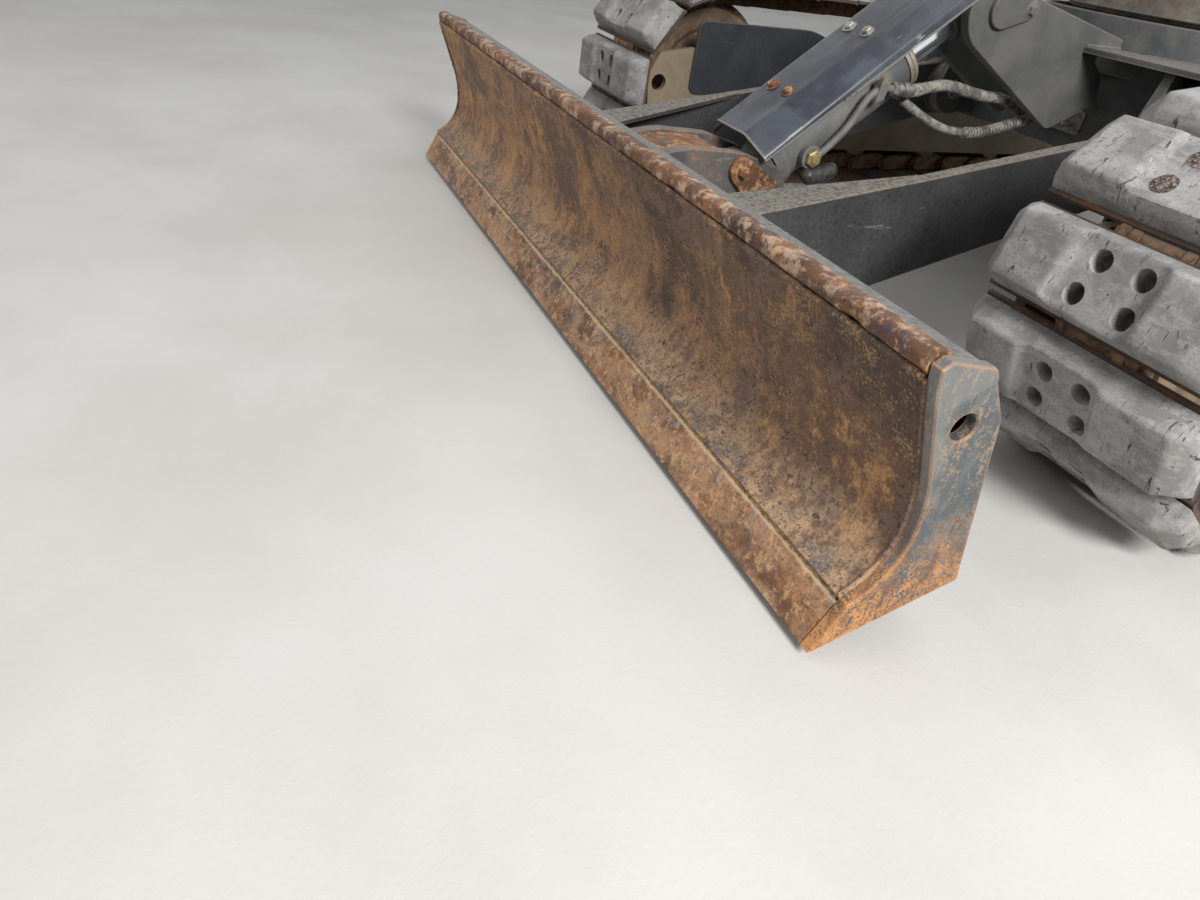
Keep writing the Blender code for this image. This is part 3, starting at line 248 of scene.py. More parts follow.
# Moldboard: one rolled steel plate, bent to two radii and scraped bare by soil. It stands on the
# cutting edge and leans forwards to the lip. Rust has run down it in streaks.

MACHINE_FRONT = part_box("cutting_edge")[0][1]     # y of the cutting edge
BOARD_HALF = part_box("moldboard")[1][0]
BOARD_THICK = 0.014
BOARD_BACK = 0.1045
BOARD_BACK_Z = 0.205
LOWER_R = 0.125
LOWER_TURN = math.radians(62.0)
UPPER_R = 0.260
UPPER_TURN = math.radians(20.5)
BOARD_TOP = 0.4268
DENT_FOOT = 0.09          # the plate is dented between these two heights
DENT_TOP = 0.425
DENT_FADE = 0.05


def arc(centre, radius, start, end, steps):
    """Points on a circle from angle start to angle end, as an array of (y, z)."""
    angle = np.linspace(start, end, steps + 1)
    return np.column_stack([centre[0] + radius * np.cos(angle), centre[1] + radius * np.sin(angle)])


def moved_aside(line, distance):
    """The line moved square to itself by a distance, to its right-hand side."""
    way = np.gradient(line, axis=0)
    way /= np.linalg.norm(way, axis=1, keepdims=True)
    return line + distance * np.column_stack([way[:, 1], -way[:, 0]])


def ripple(points, wave, seed):
    """Smooth unevenness from -1 to 1: the mean of seven sine waves in chance directions, each about
    wave metres long."""
    chance = np.random.default_rng(seed)
    total = np.zeros(points.shape[:-1])
    for _ in range(7):
        way = chance.normal(size=3)
        way *= 2 * math.pi / (wave * chance.uniform(0.6, 1.6) * np.linalg.norm(way))
        total += np.sin(points @ way + chance.uniform(0, 2 * math.pi))
    return total / 7


def grid_form(points, round_rows=False, round_columns=False, capped=False):
    """Vertices and faces of a skin through points[row, column]. It may close round either way, and
    capped closes the first and last rows with a face each."""
    rows, columns = points.shape[:2]
    index = np.arange(rows * columns).reshape(rows, columns)
    net = np.vstack([index, index[:1]]) if round_rows else index
    net = np.hstack([net, net[:, :1]]) if round_columns else net
    quads = np.stack([net[:-1, :-1], net[1:, :-1], net[1:, 1:], net[:-1, 1:]], axis=-1).reshape(-1, 4)
    faces = quads.tolist()
    if capped:
        faces += [index[0].tolist(), index[-1, ::-1].tolist()]
    return points.reshape(-1, 3), faces


def bar_form(section, x0, x1, steps=1):
    """A section, as points (y, z), carried straight along X between two values of x."""
    x = np.linspace(x0, x1, steps + 1)
    points = np.empty((steps + 1, len(section), 3))
    points[..., 0] = x[:, None]
    points[..., 1:] = section[None]
    return grid_form(points, round_columns=True, capped=True)


def form_mesh(name, forms):
    """A mesh from forms, with its doubles merged and its faces turned outwards."""
    vertices = []
    faces = []
    for points, polygons in forms:
        start = len(vertices)
        vertices += points.tolist()
        faces += [[start + i for i in polygon] for polygon in polygons]
    mesh = bpy.data.meshes.new(name)
    mesh.from_pydata(vertices, [], faces)
    work = bmesh.new()
    work.from_mesh(mesh)
    bmesh.ops.remove_doubles(work, verts=work.verts, dist=0.00002)
    bmesh.ops.recalc_face_normals(work, faces=work.faces)
    work.to_mesh(mesh)
    work.free()
    return mesh


def piece(name, forms, finish, body, replaces=(), sharp=32.0):
    """One finished piece from its forms. Its faces are turned outwards and shaded smooth, except
    across edges sharper than the angle."""
    mesh = form_mesh(name, forms)
    mesh.shade_smooth()
    mesh.set_sharp_from_angle(angle=math.radians(sharp))
    mesh.materials.append(finish)
    thing = bpy.data.objects.new(name, mesh)
    bpy.context.scene.collection.objects.link(thing)
    if body:
        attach(thing, body)
    if replaces:
        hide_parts(*replaces)
    return thing


board_face = np.vstack([
    arc((BOARD_BACK - LOWER_R, BOARD_BACK_Z), LOWER_R, -LOWER_TURN, 0.0, 18),
    arc((BOARD_BACK - UPPER_R, BOARD_BACK_Z), UPPER_R, 0.0, UPPER_TURN, 10)[1:]])
rest = BOARD_TOP - board_face[-1, 1]
climb = np.linspace(0.0, 1.0, 12)[1:, None]
lean = np.array([-math.tan(UPPER_TURN), 1.0])
board_face = np.vstack([board_face, board_face[-1] + climb * rest * lean])
board_section = np.vstack([board_face, moved_aside(board_face, BOARD_THICK)[::-1]]) + (MACHINE_FRONT, 0.0)
board_points, board_faces = bar_form(board_section, -BOARD_HALF, BOARD_HALF, 150)
above_foot = np.clip((board_points[:, 2] - DENT_FOOT) / DENT_FADE, 0, 1)
below_lip = np.clip((DENT_TOP - board_points[:, 2]) / DENT_FADE, 0, 1)
dents = 0.0016 * ripple(board_points, 0.42, 3) + 0.0006 * ripple(board_points, 0.11, 4)
board_points[:, 1] += above_foot * below_lip * dents


def rusted(finish, scale):
    """Colours of steel that has rusted and been rubbed: purple-brown scale, brown, orange bloom and
    a pale dusty wear. Returns the colour and the fine grain."""
    broad = finish.noise(5.0 * scale, 6.0, 0.62, warp=0.6)
    fine = finish.noise(46.0 * scale, 6.0, 0.70)
    grain = finish.noise(420.0, 2.0, 0.6)
    tone = finish.coats((0.060, 0.032, 0.024),
                        ((0.155, 0.072, 0.036), broad.rise(0.32, 0.56)),
                        ((0.330, 0.140, 0.052), (broad * 0.55 + fine * 0.45).rise(0.50, 0.64)),
                        ((0.240, 0.165, 0.120), fine.rise(0.58, 0.76) * 0.55),
                        ((0.030, 0.020, 0.018), (1.0 - fine).rise(0.60, 0.74) * 0.8))
    return tone, grain


board = Finish("rolled_rusty_plate")
cloud = board.noise(3.6, 7.0, 0.68)
patch = board.noise(10.0, 8.0, 0.76)
mottle = board.noise(34.0, 7.0, 0.78)
speck = board.noise(105.0, 4.0, 0.80)
grit = board.noise(210.0, 3.0, 0.72)
streak = board.noise(17.0, 6.0, 0.66, along=(1.0, 0.22, 0.22))
scratch = board.noise(120.0, 3.0, 0.55, along=(1.0, 0.035, 0.035))
height = board.axis("Z")
side = board.axis("X")
# Painted light and shade: the pale brown clouds thin out towards the right-hand end (+x), so the left reads
# lighter, and the dark blotches, real dark rust, are made to grow towards the top and the right-hand end as
# painted shade.
pale_clouds_and_painted_light = (mottle * 0.40 + cloud * 0.60 - side * 0.020).rise(0.435, 0.535)
bloom = (patch * 0.60 + streak * 0.25 + speck * 0.15).rise(0.515, 0.575)
blotches_and_painted_shade = cloud * 0.42 + patch * 0.30 + streak * 0.10 + side * 0.055 + height * 0.26
pitted = 0.15 + (1.0 - patch).rise(0.485, 0.545) * 0.70
pits = (speck * 0.75 + mottle * 0.25).rise(0.530, 0.580)
flecks = ((1.0 - grit) * 0.45 + patch * 0.55).rise(0.530, 0.585)
tone = board.coats((0.150, 0.084, 0.050),
                   ((0.370, 0.205, 0.105), pale_clouds_and_painted_light),
                   ((0.165, 0.105, 0.085), (1.0 - patch).rise(0.515, 0.57) * 0.70),
                   ((0.520, 0.270, 0.100), bloom * 0.85),
                   ((0.040, 0.029, 0.023), blotches_and_painted_shade.rise(0.500, 0.565) * 0.85),
                   ((0.330, 0.210, 0.120), height.rise(0.30, 0.40) * streak.rise(0.54, 0.64) * 0.5),
                   ((0.540, 0.370, 0.230), height.rise(0.200, 0.085) * mottle.rise(0.38, 0.58) * 0.80),
                   ((0.085, 0.100, 0.108), height.rise(0.135, 0.098) * patch.rise(0.485, 0.53) * 0.75),
                   ((0.040, 0.026, 0.020), pits * pitted),
                   ((0.060, 0.036, 0.024), grit.rise(0.53, 0.60) * 0.30),
                   ((0.620, 0.380, 0.200), flecks * 0.40),
                   ((0.400, 0.290, 0.200), scratch.rise(0.69, 0.73) * 0.5))
board_finish = board.close(tone, 0.60 + speck * 0.3, 0.15,
                           relief=speck * 0.7 + mottle * 0.3, depth=0.0016)
piece("moldboard_plate", [(board_points, board_faces)], board_finish, "blade", ["moldboard"])

# Lip: a thick round-edged steel bar, welded along the moldboard's top. It is knocked and chipped along
# its length, and its rust is rubbed to purple-brown and pale patches.

LIP_ROUND = 0.0115
LIP_REACH = 0.018         # from its middle to its skin
lip_low, lip_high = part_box("blade_lip")
lip_front, lip_base = lip_low[1:]
LIP_HALF, lip_rear, lip_top = lip_high


def rounded(y0, z0, y1, z1, radius, steps=6):
    """Outline of a rectangle from (y0, z0) to (y1, z1) with its corners rounded."""
    corners = ((y1 - radius, z0 + radius, -90), (y1 - radius, z1 - radius, 0),
               (y0 + radius, z1 - radius, 90), (y0 + radius, z0 + radius, 180))
    return np.vstack([arc((y, z), radius, math.radians(a), math.radians(a + 90), steps)
                      for y, z, a in corners])


lip_outline = rounded(lip_front, lip_base, lip_rear, lip_top, LIP_ROUND)
lip_points, lip_faces = bar_form(lip_outline, -LIP_HALF, LIP_HALF, 260)
middle = np.array([0.0, (lip_front + lip_rear) / 2, (lip_base + lip_top) / 2])
knock = np.clip(ripple(lip_points, 0.06, 8) - 0.28, 0, 1) * 0.010 + 0.0007 * ripple(lip_points, 0.02, 9)
outwards = (lip_points[:, 1:] - middle[1:]) / LIP_REACH
lip_points[:, 1:] -= outwards * np.clip(knock, -0.001, 0.004)[:, None]

lip = Finish("chipped_rusty_bar")
worn, grain = rusted(lip, 1.6)
chip = lip.noise(26.0, 5.0, 0.7, warp=0.5)
worn = lip.coats(worn,
                 ((0.560, 0.400, 0.280), lip.noise(34.0, 6.0, 0.7).rise(0.47, 0.62) * 0.75),
                 ((0.085, 0.055, 0.060), chip.rise(0.52, 0.60) * 0.85),
                 ((0.560, 0.300, 0.110), lip.noise(70.0, 4.0).rise(0.60, 0.70) * 0.8))
lip_finish = lip.close(worn, 0.58 + grain * 0.2, 0.3, relief=chip * 0.7 + grain * 0.3, depth=0.0012)
piece("lip_bar", [(lip_points, lip_faces)], lip_finish, "blade", ["blade_lip"])

# Cutting edge: a flat bar of hard steel, ground to a slant underneath by use. Its top stands a
# little proud of the moldboard and holds a line of weld and pale dust.

EDGE_TIP = (0.0, 0.015)
EDGE_SLOPE = math.radians(62.0)
EDGE_HEIGHT = 0.080
EDGE_THICK = 0.016
EDGE_UP = np.array([math.cos(EDGE_SLOPE), math.sin(EDGE_SLOPE)])
EDGE_BACK = np.array([math.sin(EDGE_SLOPE), -math.cos(EDGE_SLOPE)])
FOOT_RISE = 0.364         # how steeply its worn foot climbs towards the rear
heel = np.array(EDGE_TIP) + EDGE_BACK * EDGE_THICK
heel = heel + EDGE_UP * (FOOT_RISE * heel[0] - heel[1] + EDGE_TIP[1]) / (EDGE_UP[1] - FOOT_RISE * EDGE_UP[0])
crest = np.array(EDGE_TIP) + EDGE_UP * EDGE_HEIGHT
front_line = EDGE_TIP + np.linspace(0.0, 0.955, 16)[:, None] * EDGE_UP * EDGE_HEIGHT
edge_section = np.vstack([front_line, crest + EDGE_BACK * 0.0022, crest + EDGE_BACK * EDGE_THICK, heel])
edge_points, edge_faces = bar_form(edge_section + (MACHINE_FRONT, 0.0), -BOARD_HALF, BOARD_HALF, 220)
foot_share = np.clip(1.0 - (edge_points[:, 2] - 0.015) / 0.020, 0, 1)
edge_points[:, 2] += foot_share * np.clip(ripple(edge_points, 0.22, 12), -0.2, 1) * 0.0022

bar = Finish("ground_rusty_bar")
tone, grain = rusted(bar, 1.5)
sweep = bar.noise(16.0, 6.0, 0.66, along=(0.5, 1.0, 1.0), warp=0.5)
climb_z = bar.axis("Z")
bare = bar.noise(34.0, 5.0, 0.7, warp=0.7) + climb_z * 2.2
top_line = (climb_z + bar.noise(40.0, 4.0) * 0.008).rise(0.0835, 0.0885)
tone = bar.coats(tone,
                 ((0.450, 0.265, 0.150), sweep.rise(0.38, 0.58) * 0.85),
                 ((0.620, 0.380, 0.200), bar.noise(64.0, 6.0, 0.75).rise(0.50, 0.62) * 0.75),
                 ((0.110, 0.066, 0.042), bar.noise(150.0, 4.0, 0.75).rise(0.53, 0.60) * 0.6),
                 ((0.120, 0.078, 0.070), bar.noise(9.0, 6.0, 0.7, warp=0.6).rise(0.56, 0.66) * 0.8),
                 ((0.235, 0.245, 0.250), bare.rise(0.72, 0.76) * 0.6),
                 ((0.590, 0.440, 0.270), top_line * 0.85))
edge_finish = bar.close(tone, 0.62, 0.3, relief=sweep * 0.5 + grain * 0.5, depth=0.0008)
piece("edge_bar", [(edge_points, edge_faces)], edge_finish, "blade", ["cutting_edge"])


def bead_form(route, radius, seed, sides=8, lump=0.35, step=0.004):
    """A weld bead: a thin round run along straight legs of a route, with a ripple each few
    millimetres. route is (n, 3) points."""
    lengths = np.linalg.norm(np.diff(route, axis=0), axis=1)
    counts = np.maximum((lengths / step).astype(int), 2)
    line = np.vstack([np.linspace(route[i], route[i + 1], counts[i], endpoint=False)
                      for i in range(len(counts))] + [route[-1:]])
    way = np.gradient(line, axis=0)
    way /= np.linalg.norm(way, axis=1, keepdims=True)
    helper = np.array([0.31, 0.52, 0.79])
    side = np.cross(way, helper)
    side /= np.linalg.norm(side, axis=1, keepdims=True)
    up = np.cross(way, side)
    angle = np.linspace(0, 2 * math.pi, sides, endpoint=False)
    swell = radius * (1.0 + lump * ripple(line, 0.016, seed) + 0.12 * np.cos(np.arange(len(line)) * 1.9))
    ring = np.cos(angle)[None, :, None] * side[:, None] + np.sin(angle)[None, :, None] * up[:, None]
    return grid_form(line[:, None] + swell[:, None, None] * ring, round_columns=True, capped=True)


def straight_bead(reach, y, z, radius, seed):
    """A weld bead along X, between minus and plus the reach."""
    return bead_form(np.array([(-reach, y, z), (reach, y, z)]), radius, seed, step=0.006)


WELD_REACH = BOARD_HALF - 0.004
WELD_INSET = 0.0055       # from the edge bar's back to the weld's middle
WELD_Z = 0.4275
weld = Finish("rusty_weld")
tone = weld.coats((0.440, 0.270, 0.125),
                  ((0.200, 0.105, 0.058), weld.noise(70.0, 6.0, 0.72).rise(0.46, 0.58)),
                  ((0.150, 0.175, 0.195), weld.noise(14.0, 5.0, 0.7).rise(0.57, 0.62) * 0.8))
weld_finish = weld.close(tone, 0.7, 0.1, relief=weld.noise(300.0, 3.0), depth=0.0006)
seam_y = MACHINE_FRONT + crest[0] + EDGE_BACK[0] * (EDGE_THICK - WELD_INSET)
seam_z = crest[1] + EDGE_BACK[1] * (EDGE_THICK - WELD_INSET)
under_lip = MACHINE_FRONT + board_face[-1, 0] - 0.0005
seams = [straight_bead(WELD_REACH, seam_y, seam_z, 0.0062, 5),
         straight_bead(WELD_REACH, under_lip, WELD_Z, 0.0055, 6)]
edge_line = moved_aside(board_face, -0.0012) + (MACHINE_FRONT, 0.0)
for sign in (-1, 1):
    end_x = np.full(len(edge_line), sign * (BOARD_HALF - 0.0005))
    seams.append(bead_form(np.column_stack([end_x, edge_line]), 0.0036, 7 + sign))
piece("blade_welds", seams, board_finish, "blade")
piece("edge_weld", [straight_bead(WELD_REACH, seam_y - 0.0035, seam_z + 0.0030, 0.0048, 11)],
      weld_finish, "blade")

# End plates: thick plate flame-cut to the blade's outline, with a lifting hole near the top. Their
# blue-grey paint is giving way to orange rust, from the ground up.

PLATE_OUT = 1.160
PLATE_THICK = 0.020
LIFT_HOLE = (0.108, 0.366)
LIFT_HOLE_R = 0.019
LIP_TOP = 0.4605
BACK_WAIST = (0.167, 0.370)
BACK_HEEL = (0.230, 0.096)
MACHINE_MOVE = np.array([MACHINE_FRONT, 0.0])


def softened(line, radius, steps=4, closed=True):
    """The line with its corners rounded. Each corner becomes the curve (1-t)^2 p + 2t(1-t) c + t^2 q,
    where c is the corner, and p and q lie on the two edges, the radius away from it."""
    line = np.asarray(line, float)
    back = np.roll(line, 1, axis=0) - line
    on = np.roll(line, -1, axis=0) - line
    back_length = np.linalg.norm(back, axis=1, keepdims=True)
    on_length = np.linalg.norm(on, axis=1, keepdims=True)
    p = line + back / back_length * np.minimum(radius, 0.45 * back_length)
    q = line + on / on_length * np.minimum(radius, 0.45 * on_length)
    t = np.linspace(0, 1, steps + 1)[None, :, None]
    curve = (1 - t) ** 2 * p[:, None] + 2 * t * (1 - t) * line[:, None] + t ** 2 * q[:, None]
    if closed:
        return curve.reshape(-1, line.shape[1])
    return np.vstack([line[:1], curve[1:-1].reshape(-1, line.shape[1]), line[-1:]])


def circle(centre, radius, steps=32):
    return arc(centre, radius, 0.0, 2 * math.pi, steps)[:-1]


def plate_form(outline, low, high, holes=(), bevel=0.0018):
    """A plate square to X, between two values of x. Each loop of (y, z) is carried across it as four
    rings. The first and last are drawn in by the bevel along the mean of the two edges' normals."""
    points = []
    faces = []
    caps = []
    start = 0
    for number, loop in enumerate([outline, *holes]):
        loop = np.asarray(loop, float)
        on = np.roll(loop, -1, axis=0)
        area = np.sum(loop[:, 0] * on[:, 1] - on[:, 0] * loop[:, 1])
        if (area > 0) == (number > 0):
            loop = loop[::-1]
        way = np.roll(loop, -1, axis=0) - loop
        way /= np.linalg.norm(way, axis=1, keepdims=True)
        normal = np.column_stack([way[:, 1], -way[:, 0]])
        mitre = normal + np.roll(normal, 1, axis=0)
        mitre *= 2 / np.maximum(np.sum(mitre ** 2, axis=1, keepdims=True), 0.6)
        drawn_in = loop - bevel * mitre
        rings = np.empty((4, len(loop), 3))
        rings[..., 0] = np.array([low, low + bevel, high - bevel, high])[:, None]
        rings[..., 1:] = np.stack([drawn_in, loop, loop, drawn_in])
        ring_points, ring_faces = grid_form(rings, round_columns=True)
        points.append(ring_points)
        faces += [[start + i for i in face] for face in ring_faces]
        caps.append((start, len(loop), drawn_in))
        start += len(ring_points)
    loops = [[Vector((u, v, 0.0)) for u, v in drawn_in.tolist()] for _, _, drawn_in in caps]
    near = np.concatenate([first + np.arange(count) for first, count, _ in caps])
    far = np.concatenate([first + 3 * count + np.arange(count) for first, count, _ in caps])
    for triangle in tessellate_polygon(loops):
        faces.append(near[list(triangle)].tolist())
        faces.append(far[list(triangle)][::-1].tolist())
    return np.vstack(points), faces


lip_y = lip_front - MACHINE_FRONT
end_outline = np.vstack([[EDGE_TIP], [crest], board_face[:-1], [(board_face[-1, 0], 0.432)],
                         [(lip_y + 0.003, LIP_TOP - 0.012)], [(lip_y + 0.016, LIP_TOP - 0.003)],
                         arc((0.107, 0.4235), 0.024, 1.05, 0.10, 4), [BACK_WAIST], [BACK_HEEL]])

end = Finish("blue_grey_paint_rusting")
low_z = end.axis("Z")
flakes = end.noise(38.0, 7.0, 0.72, warp=0.4)
broad = end.noise(9.0, 5.0, 0.66, warp=0.6)
fine = end.noise(210.0, 4.0, 0.72)
arris = end.edges(0.009)
drip = end.noise(60.0, 6.0, 0.72, along=(1.0, 1.0, 0.30), warp=0.3)
paint_tone = end.coats((0.070, 0.082, 0.090),
                       ((0.150, 0.157, 0.154), broad.rise(0.40, 0.62)),
                       ((0.370, 0.250, 0.150), (drip * 0.45 + fine * 0.55).rise(0.515, 0.575) * 0.75),
                       ((0.045, 0.052, 0.060), fine.rise(0.57, 0.68) * 0.6))
rust_tone = end.coats((0.560, 0.270, 0.100),
                      ((0.380, 0.170, 0.070), flakes.rise(0.46, 0.58)),
                      ((0.075, 0.060, 0.058), (fine * 0.55 + drip * 0.45).rise(0.515, 0.57) * 0.85))
spread = drip * 0.22 + fine * 0.58 + broad * 0.20 + (0.185 - low_z) * 0.72 + arris * 0.20
rusting = spread.rise(0.500, 0.545)
tone = end.coats(paint_tone,
                 (rust_tone, rusting),
                 ((0.560, 0.270, 0.105), (arris * 0.62 + fine * 0.30).rise(0.50, 0.72) * 0.9))
end_finish = end.close(tone, 0.52 + rusting * 0.30, rusting * 0.1,
                       relief=fine * 0.35 + flakes * rusting * 0.65, depth=0.0010)
SIDES = (("left", -1), ("right", 1))
lift_hole = circle(np.array(LIFT_HOLE) + MACHINE_MOVE, LIFT_HOLE_R)
for side, sign in SIDES:
    faces_x = sorted((sign * (PLATE_OUT - PLATE_THICK), sign * PLATE_OUT))
    plate = plate_form(end_outline + MACHINE_MOVE, *faces_x, [lift_hole], 0.0022)
    piece(f"end_plate_bevelled_{side}", [plate], end_finish, "blade", [f"end_plate_{side}"])

# Rubber pads: each a block of black rubber moulded on steel, with a chamfer at both ends and a
# shallow trough over its four bolts. They are grey with dust, and cut and rounded by stones.

LINK_CHORD = 0.154
WRAP_STEP = math.radians(33.8)
SHOE_COUNT = 39
TRACK_X = 0.963
PITCH_RADIUS = LINK_CHORD / (2 * math.sin(WRAP_STEP / 2))
CHORD_RADIUS = PITCH_RADIUS * math.cos(WRAP_STEP / 2)
QUARTER = math.pi / WRAP_STEP / 2
RUN_LINKS = (SHOE_COUNT - 4 * QUARTER) / 2
AXLE_Z = PITCH_RADIUS + 0.0865
IDLER_Y = 0.871 + MACHINE_FRONT
SPROCKET_Y = IDLER_Y + RUN_LINKS * LINK_CHORD
SLEW_Y = (IDLER_Y + SPROCKET_Y) / 2
FIRST_SHOE = {"right": math.radians(14.4) / WRAP_STEP, "left": math.radians(1.1) / WRAP_STEP}
PAD_SEAT = 0.030
PAD_FACE = 0.0865
PAD_BASE = 0.071          # half its length along the chain at the seat
TROUGH = (-0.088, 0.065)  # where the trough begins and ends across the track
TROUGH_DEPTH = 0.011
TROUGH_WALL = 0.014
END_CHAMFER = (0.196, 0.029)      # where a pad's end chamfer begins across the track, and its length
END_TIP = (0.2215, 0.0035)        # the same for the small rounding at its very end
PAD_HOLES = ((-0.037, 0.029), (0.037, 0.029), (-0.046, -0.029), (0.045, -0.030))


def chain_places(places):
    """Where the chain is, links up and back from the idler's nose: round the idler, along the top,
    round the sprocket and back along the ground. Returns the point of each link's middle on the
    line of the pins, and the way outwards there."""
    place = np.mod(places + QUARTER, SHOE_COUNT) - QUARTER
    half_turn = 2 * QUARTER
    turn_front = place * WRAP_STEP
    turn_rear = (place - QUARTER - RUN_LINKS) * WRAP_STEP
    top = place - QUARTER
    base = place - half_turn - QUARTER - RUN_LINKS
    zero = np.zeros_like(place)
    where = [place <= QUARTER, place <= QUARTER + RUN_LINKS, place <= half_turn + QUARTER + RUN_LINKS]
    centre_y = np.select(where, [IDLER_Y + zero, IDLER_Y + top * LINK_CHORD, SPROCKET_Y + zero],
                         SPROCKET_Y - base * LINK_CHORD)
    out_y = np.select(where, [-np.cos(turn_front), zero, np.sin(turn_rear)], zero)
    out_z = np.select(where, [np.sin(turn_front), zero + 1, np.cos(turn_rear)], zero - 1)
    radius = np.select(where, [CHORD_RADIUS + zero, PITCH_RADIUS + zero, CHORD_RADIUS + zero],
                       PITCH_RADIUS)
    out = np.column_stack([out_y, out_z])
    return np.column_stack([centre_y, AXLE_Z + zero]) + radius[:, None] * out, out


def along_chain(form, side):
    """A form repeated for every shoe. Its x runs across the track, y along the chain and z outwards
    from the pins. Returns the points as (shoe, vertex, xyz) with the faces of one."""
    points, faces = form
    sign = 1 if side == "right" else -1
    middle, out = chain_places(FIRST_SHOE[side] + np.arange(SHOE_COUNT))
    along = np.column_stack([out[:, 1], -out[:, 0]])
    yz = (middle[:, None] + points[None, :, 2:3] * out[:, None] + points[None, :, 1:2] * along[:, None])
    x = np.broadcast_to(sign * TRACK_X + points[None, :, 0:1], (*yz.shape[:2], 1))
    return np.concatenate([x, yz], axis=2), faces


def several(points, faces):
    """One form from points as (copy, vertex, xyz) and the faces of one copy."""
    count = points.shape[1]
    return points.reshape(-1, 3), [[copy * count + i for i in face]
                                   for copy in range(len(points)) for face in faces]


def turned_form(profile, centre, way, steps=48, ring=False):
    """A profile of (along, radius) turned about a line through centre: each point is the centre, plus
    along times the way, plus the radius times a unit circle square to it."""
    profile = np.asarray(profile, float)
    way = np.asarray(way, float) / np.linalg.norm(way)
    helper = np.array([0.0, 1.0, 0.0]) if abs(way[0]) > 0.9 else np.array([1.0, 0.0, 0.0])
    side = np.cross(way, helper)
    side /= np.linalg.norm(side)
    up = np.cross(way, side)
    angle = np.linspace(0, 2 * math.pi, steps, endpoint=False)[None, :, None]
    round_way = np.cos(angle) * side + np.sin(angle) * up
    points = np.asarray(centre) + profile[:, 0, None, None] * way + profile[:, 1, None, None] * round_way
    return grid_form(points, round_rows=ring, round_columns=True)


def solid_form(profile, centre, way, steps=48):
    """A turned form whose profile is closed on its own line at both ends."""
    closed = [(profile[0][0], 0.0), *profile, (profile[-1][0], 0.0)]
    return turned_form(closed, centre, way, steps)


def pad_mesh():
    """One pad: its outline along the chain is carried across the track. The end chamfers pull it in
    and down, and the trough limits its height. Four round holes are cut through its face."""
    half = np.array([(PAD_BASE, PAD_SEAT), (PAD_BASE, 0.046), (PAD_BASE - 0.0006, 0.0585),
                     (PAD_BASE - 0.003, 0.0635), (0.0625, 0.0745), (0.0600, 0.0800), (0.0570, 0.0845),
                     (0.0520, PAD_FACE), (0.038, PAD_FACE), (0.014, PAD_FACE)])
    ring = np.vstack([half * (-1, 1), half[::-1]])
    x = np.array([-0.225, -0.2235, -0.219, -0.211, -0.203, -0.197, -0.192, -0.15, -0.105, -0.096, -0.090,
                  -0.081, -0.074, -0.055, -0.02, 0.02, 0.048, 0.056, 0.066, 0.073, 0.082, 0.105,
                  0.15, 0.192, 0.197, 0.203, 0.211, 0.219, 0.2235, 0.225])
    end = np.clip((np.abs(x) - END_CHAMFER[0]) / END_CHAMFER[1], 0, 1)[:, None]
    tip = np.clip((np.abs(x) - END_TIP[0]) / END_TIP[1], 0, 1)[:, None]
    into_trough = np.minimum(x - TROUGH[0] + 0.006, TROUGH[1] + 0.008 - x)
    wall = np.clip(into_trough / TROUGH_WALL, 0, 1)
    height = (ring[None, :, 1] - PAD_SEAT) / (PAD_FACE - PAD_SEAT)
    points = np.empty((len(x), len(ring), 3))
    points[..., 0] = x[:, None]
    points[..., 1] = ring[None, :, 0] * (1 - 0.22 * end * height - 0.03 * tip)
    points[..., 2] = np.minimum(ring[None, :, 1], PAD_FACE - TROUGH_DEPTH * wall[:, None])
    points[..., 2] -= height * (0.024 * end + 0.003 * tip)
    block = form_mesh("pad", [grid_form(points, round_columns=True, capped=True)])
    bore = [(0.036, 0.0165), (PAD_FACE - 0.016, 0.0180), (PAD_FACE + 0.01, 0.0195)]
    bores = [solid_form(bore, (x, v, 0.0), (0, 0, 1), 20) for x, v in PAD_HOLES]
    return without(block, form_mesh("bores", bores))


def without(mesh, cutter):
    """The arrays of a mesh after another has been taken out of it."""
    kept = bpy.data.objects.new("kept", mesh)
    tool = bpy.data.objects.new("tool", cutter)
    bpy.context.scene.collection.objects.link(kept)
    bpy.context.scene.collection.objects.link(tool)
    cut = kept.modifiers.new("cut", "BOOLEAN")
    cut.operation = "DIFFERENCE"
    cut.object = tool
    bpy.context.view_layer.update()
    done = bpy.data.meshes.new_from_object(kept.evaluated_get(bpy.context.evaluated_depsgraph_get()))
    points = np.empty(len(done.vertices) * 3)
    done.vertices.foreach_get("co", points)
    faces = [list(polygon.vertices) for polygon in done.polygons]
    bpy.data.objects.remove(kept)
    bpy.data.objects.remove(tool)
    return points.reshape(-1, 3), faces


rubber = Finish("dusty_rubber")
dust = rubber.noise(11.0, 6.0, 0.66, warp=0.5)
scuff = rubber.noise(60.0, 6.0, 0.72, along=(0.35, 1.0, 1.0), warp=0.4)
pores = rubber.noise(230.0, 4.0, 0.7)
nicks = rubber.noise(85.0, 5.0, 0.62, along=(1.0, 0.25, 0.25), warp=1.4)
arris = rubber.edges(0.012)
cuts = scuff * 0.5 + nicks * 0.5 + arris * 0.05
tone = rubber.coats((0.225, 0.219, 0.210),
                    ((0.375, 0.361, 0.344), dust.rise(0.40, 0.60)),
                    ((0.460, 0.442, 0.420), scuff.rise(0.49, 0.60) * 0.5),
                    ((0.085, 0.084, 0.083), cuts.rise(0.565, 0.63) * 0.75),
                    ((0.200, 0.193, 0.184), pores.rise(0.52, 0.60) * 0.45),
                    ((0.050, 0.048, 0.047), nicks.rise(0.645, 0.68)))
rubber_relief = pores * 0.35 + scuff * 0.4 - nicks.rise(0.62, 0.70) * 0.5
rubber_finish = rubber.close(tone, 0.86, 0.0, relief=rubber_relief, depth=0.0016)
one_pad = pad_mesh()
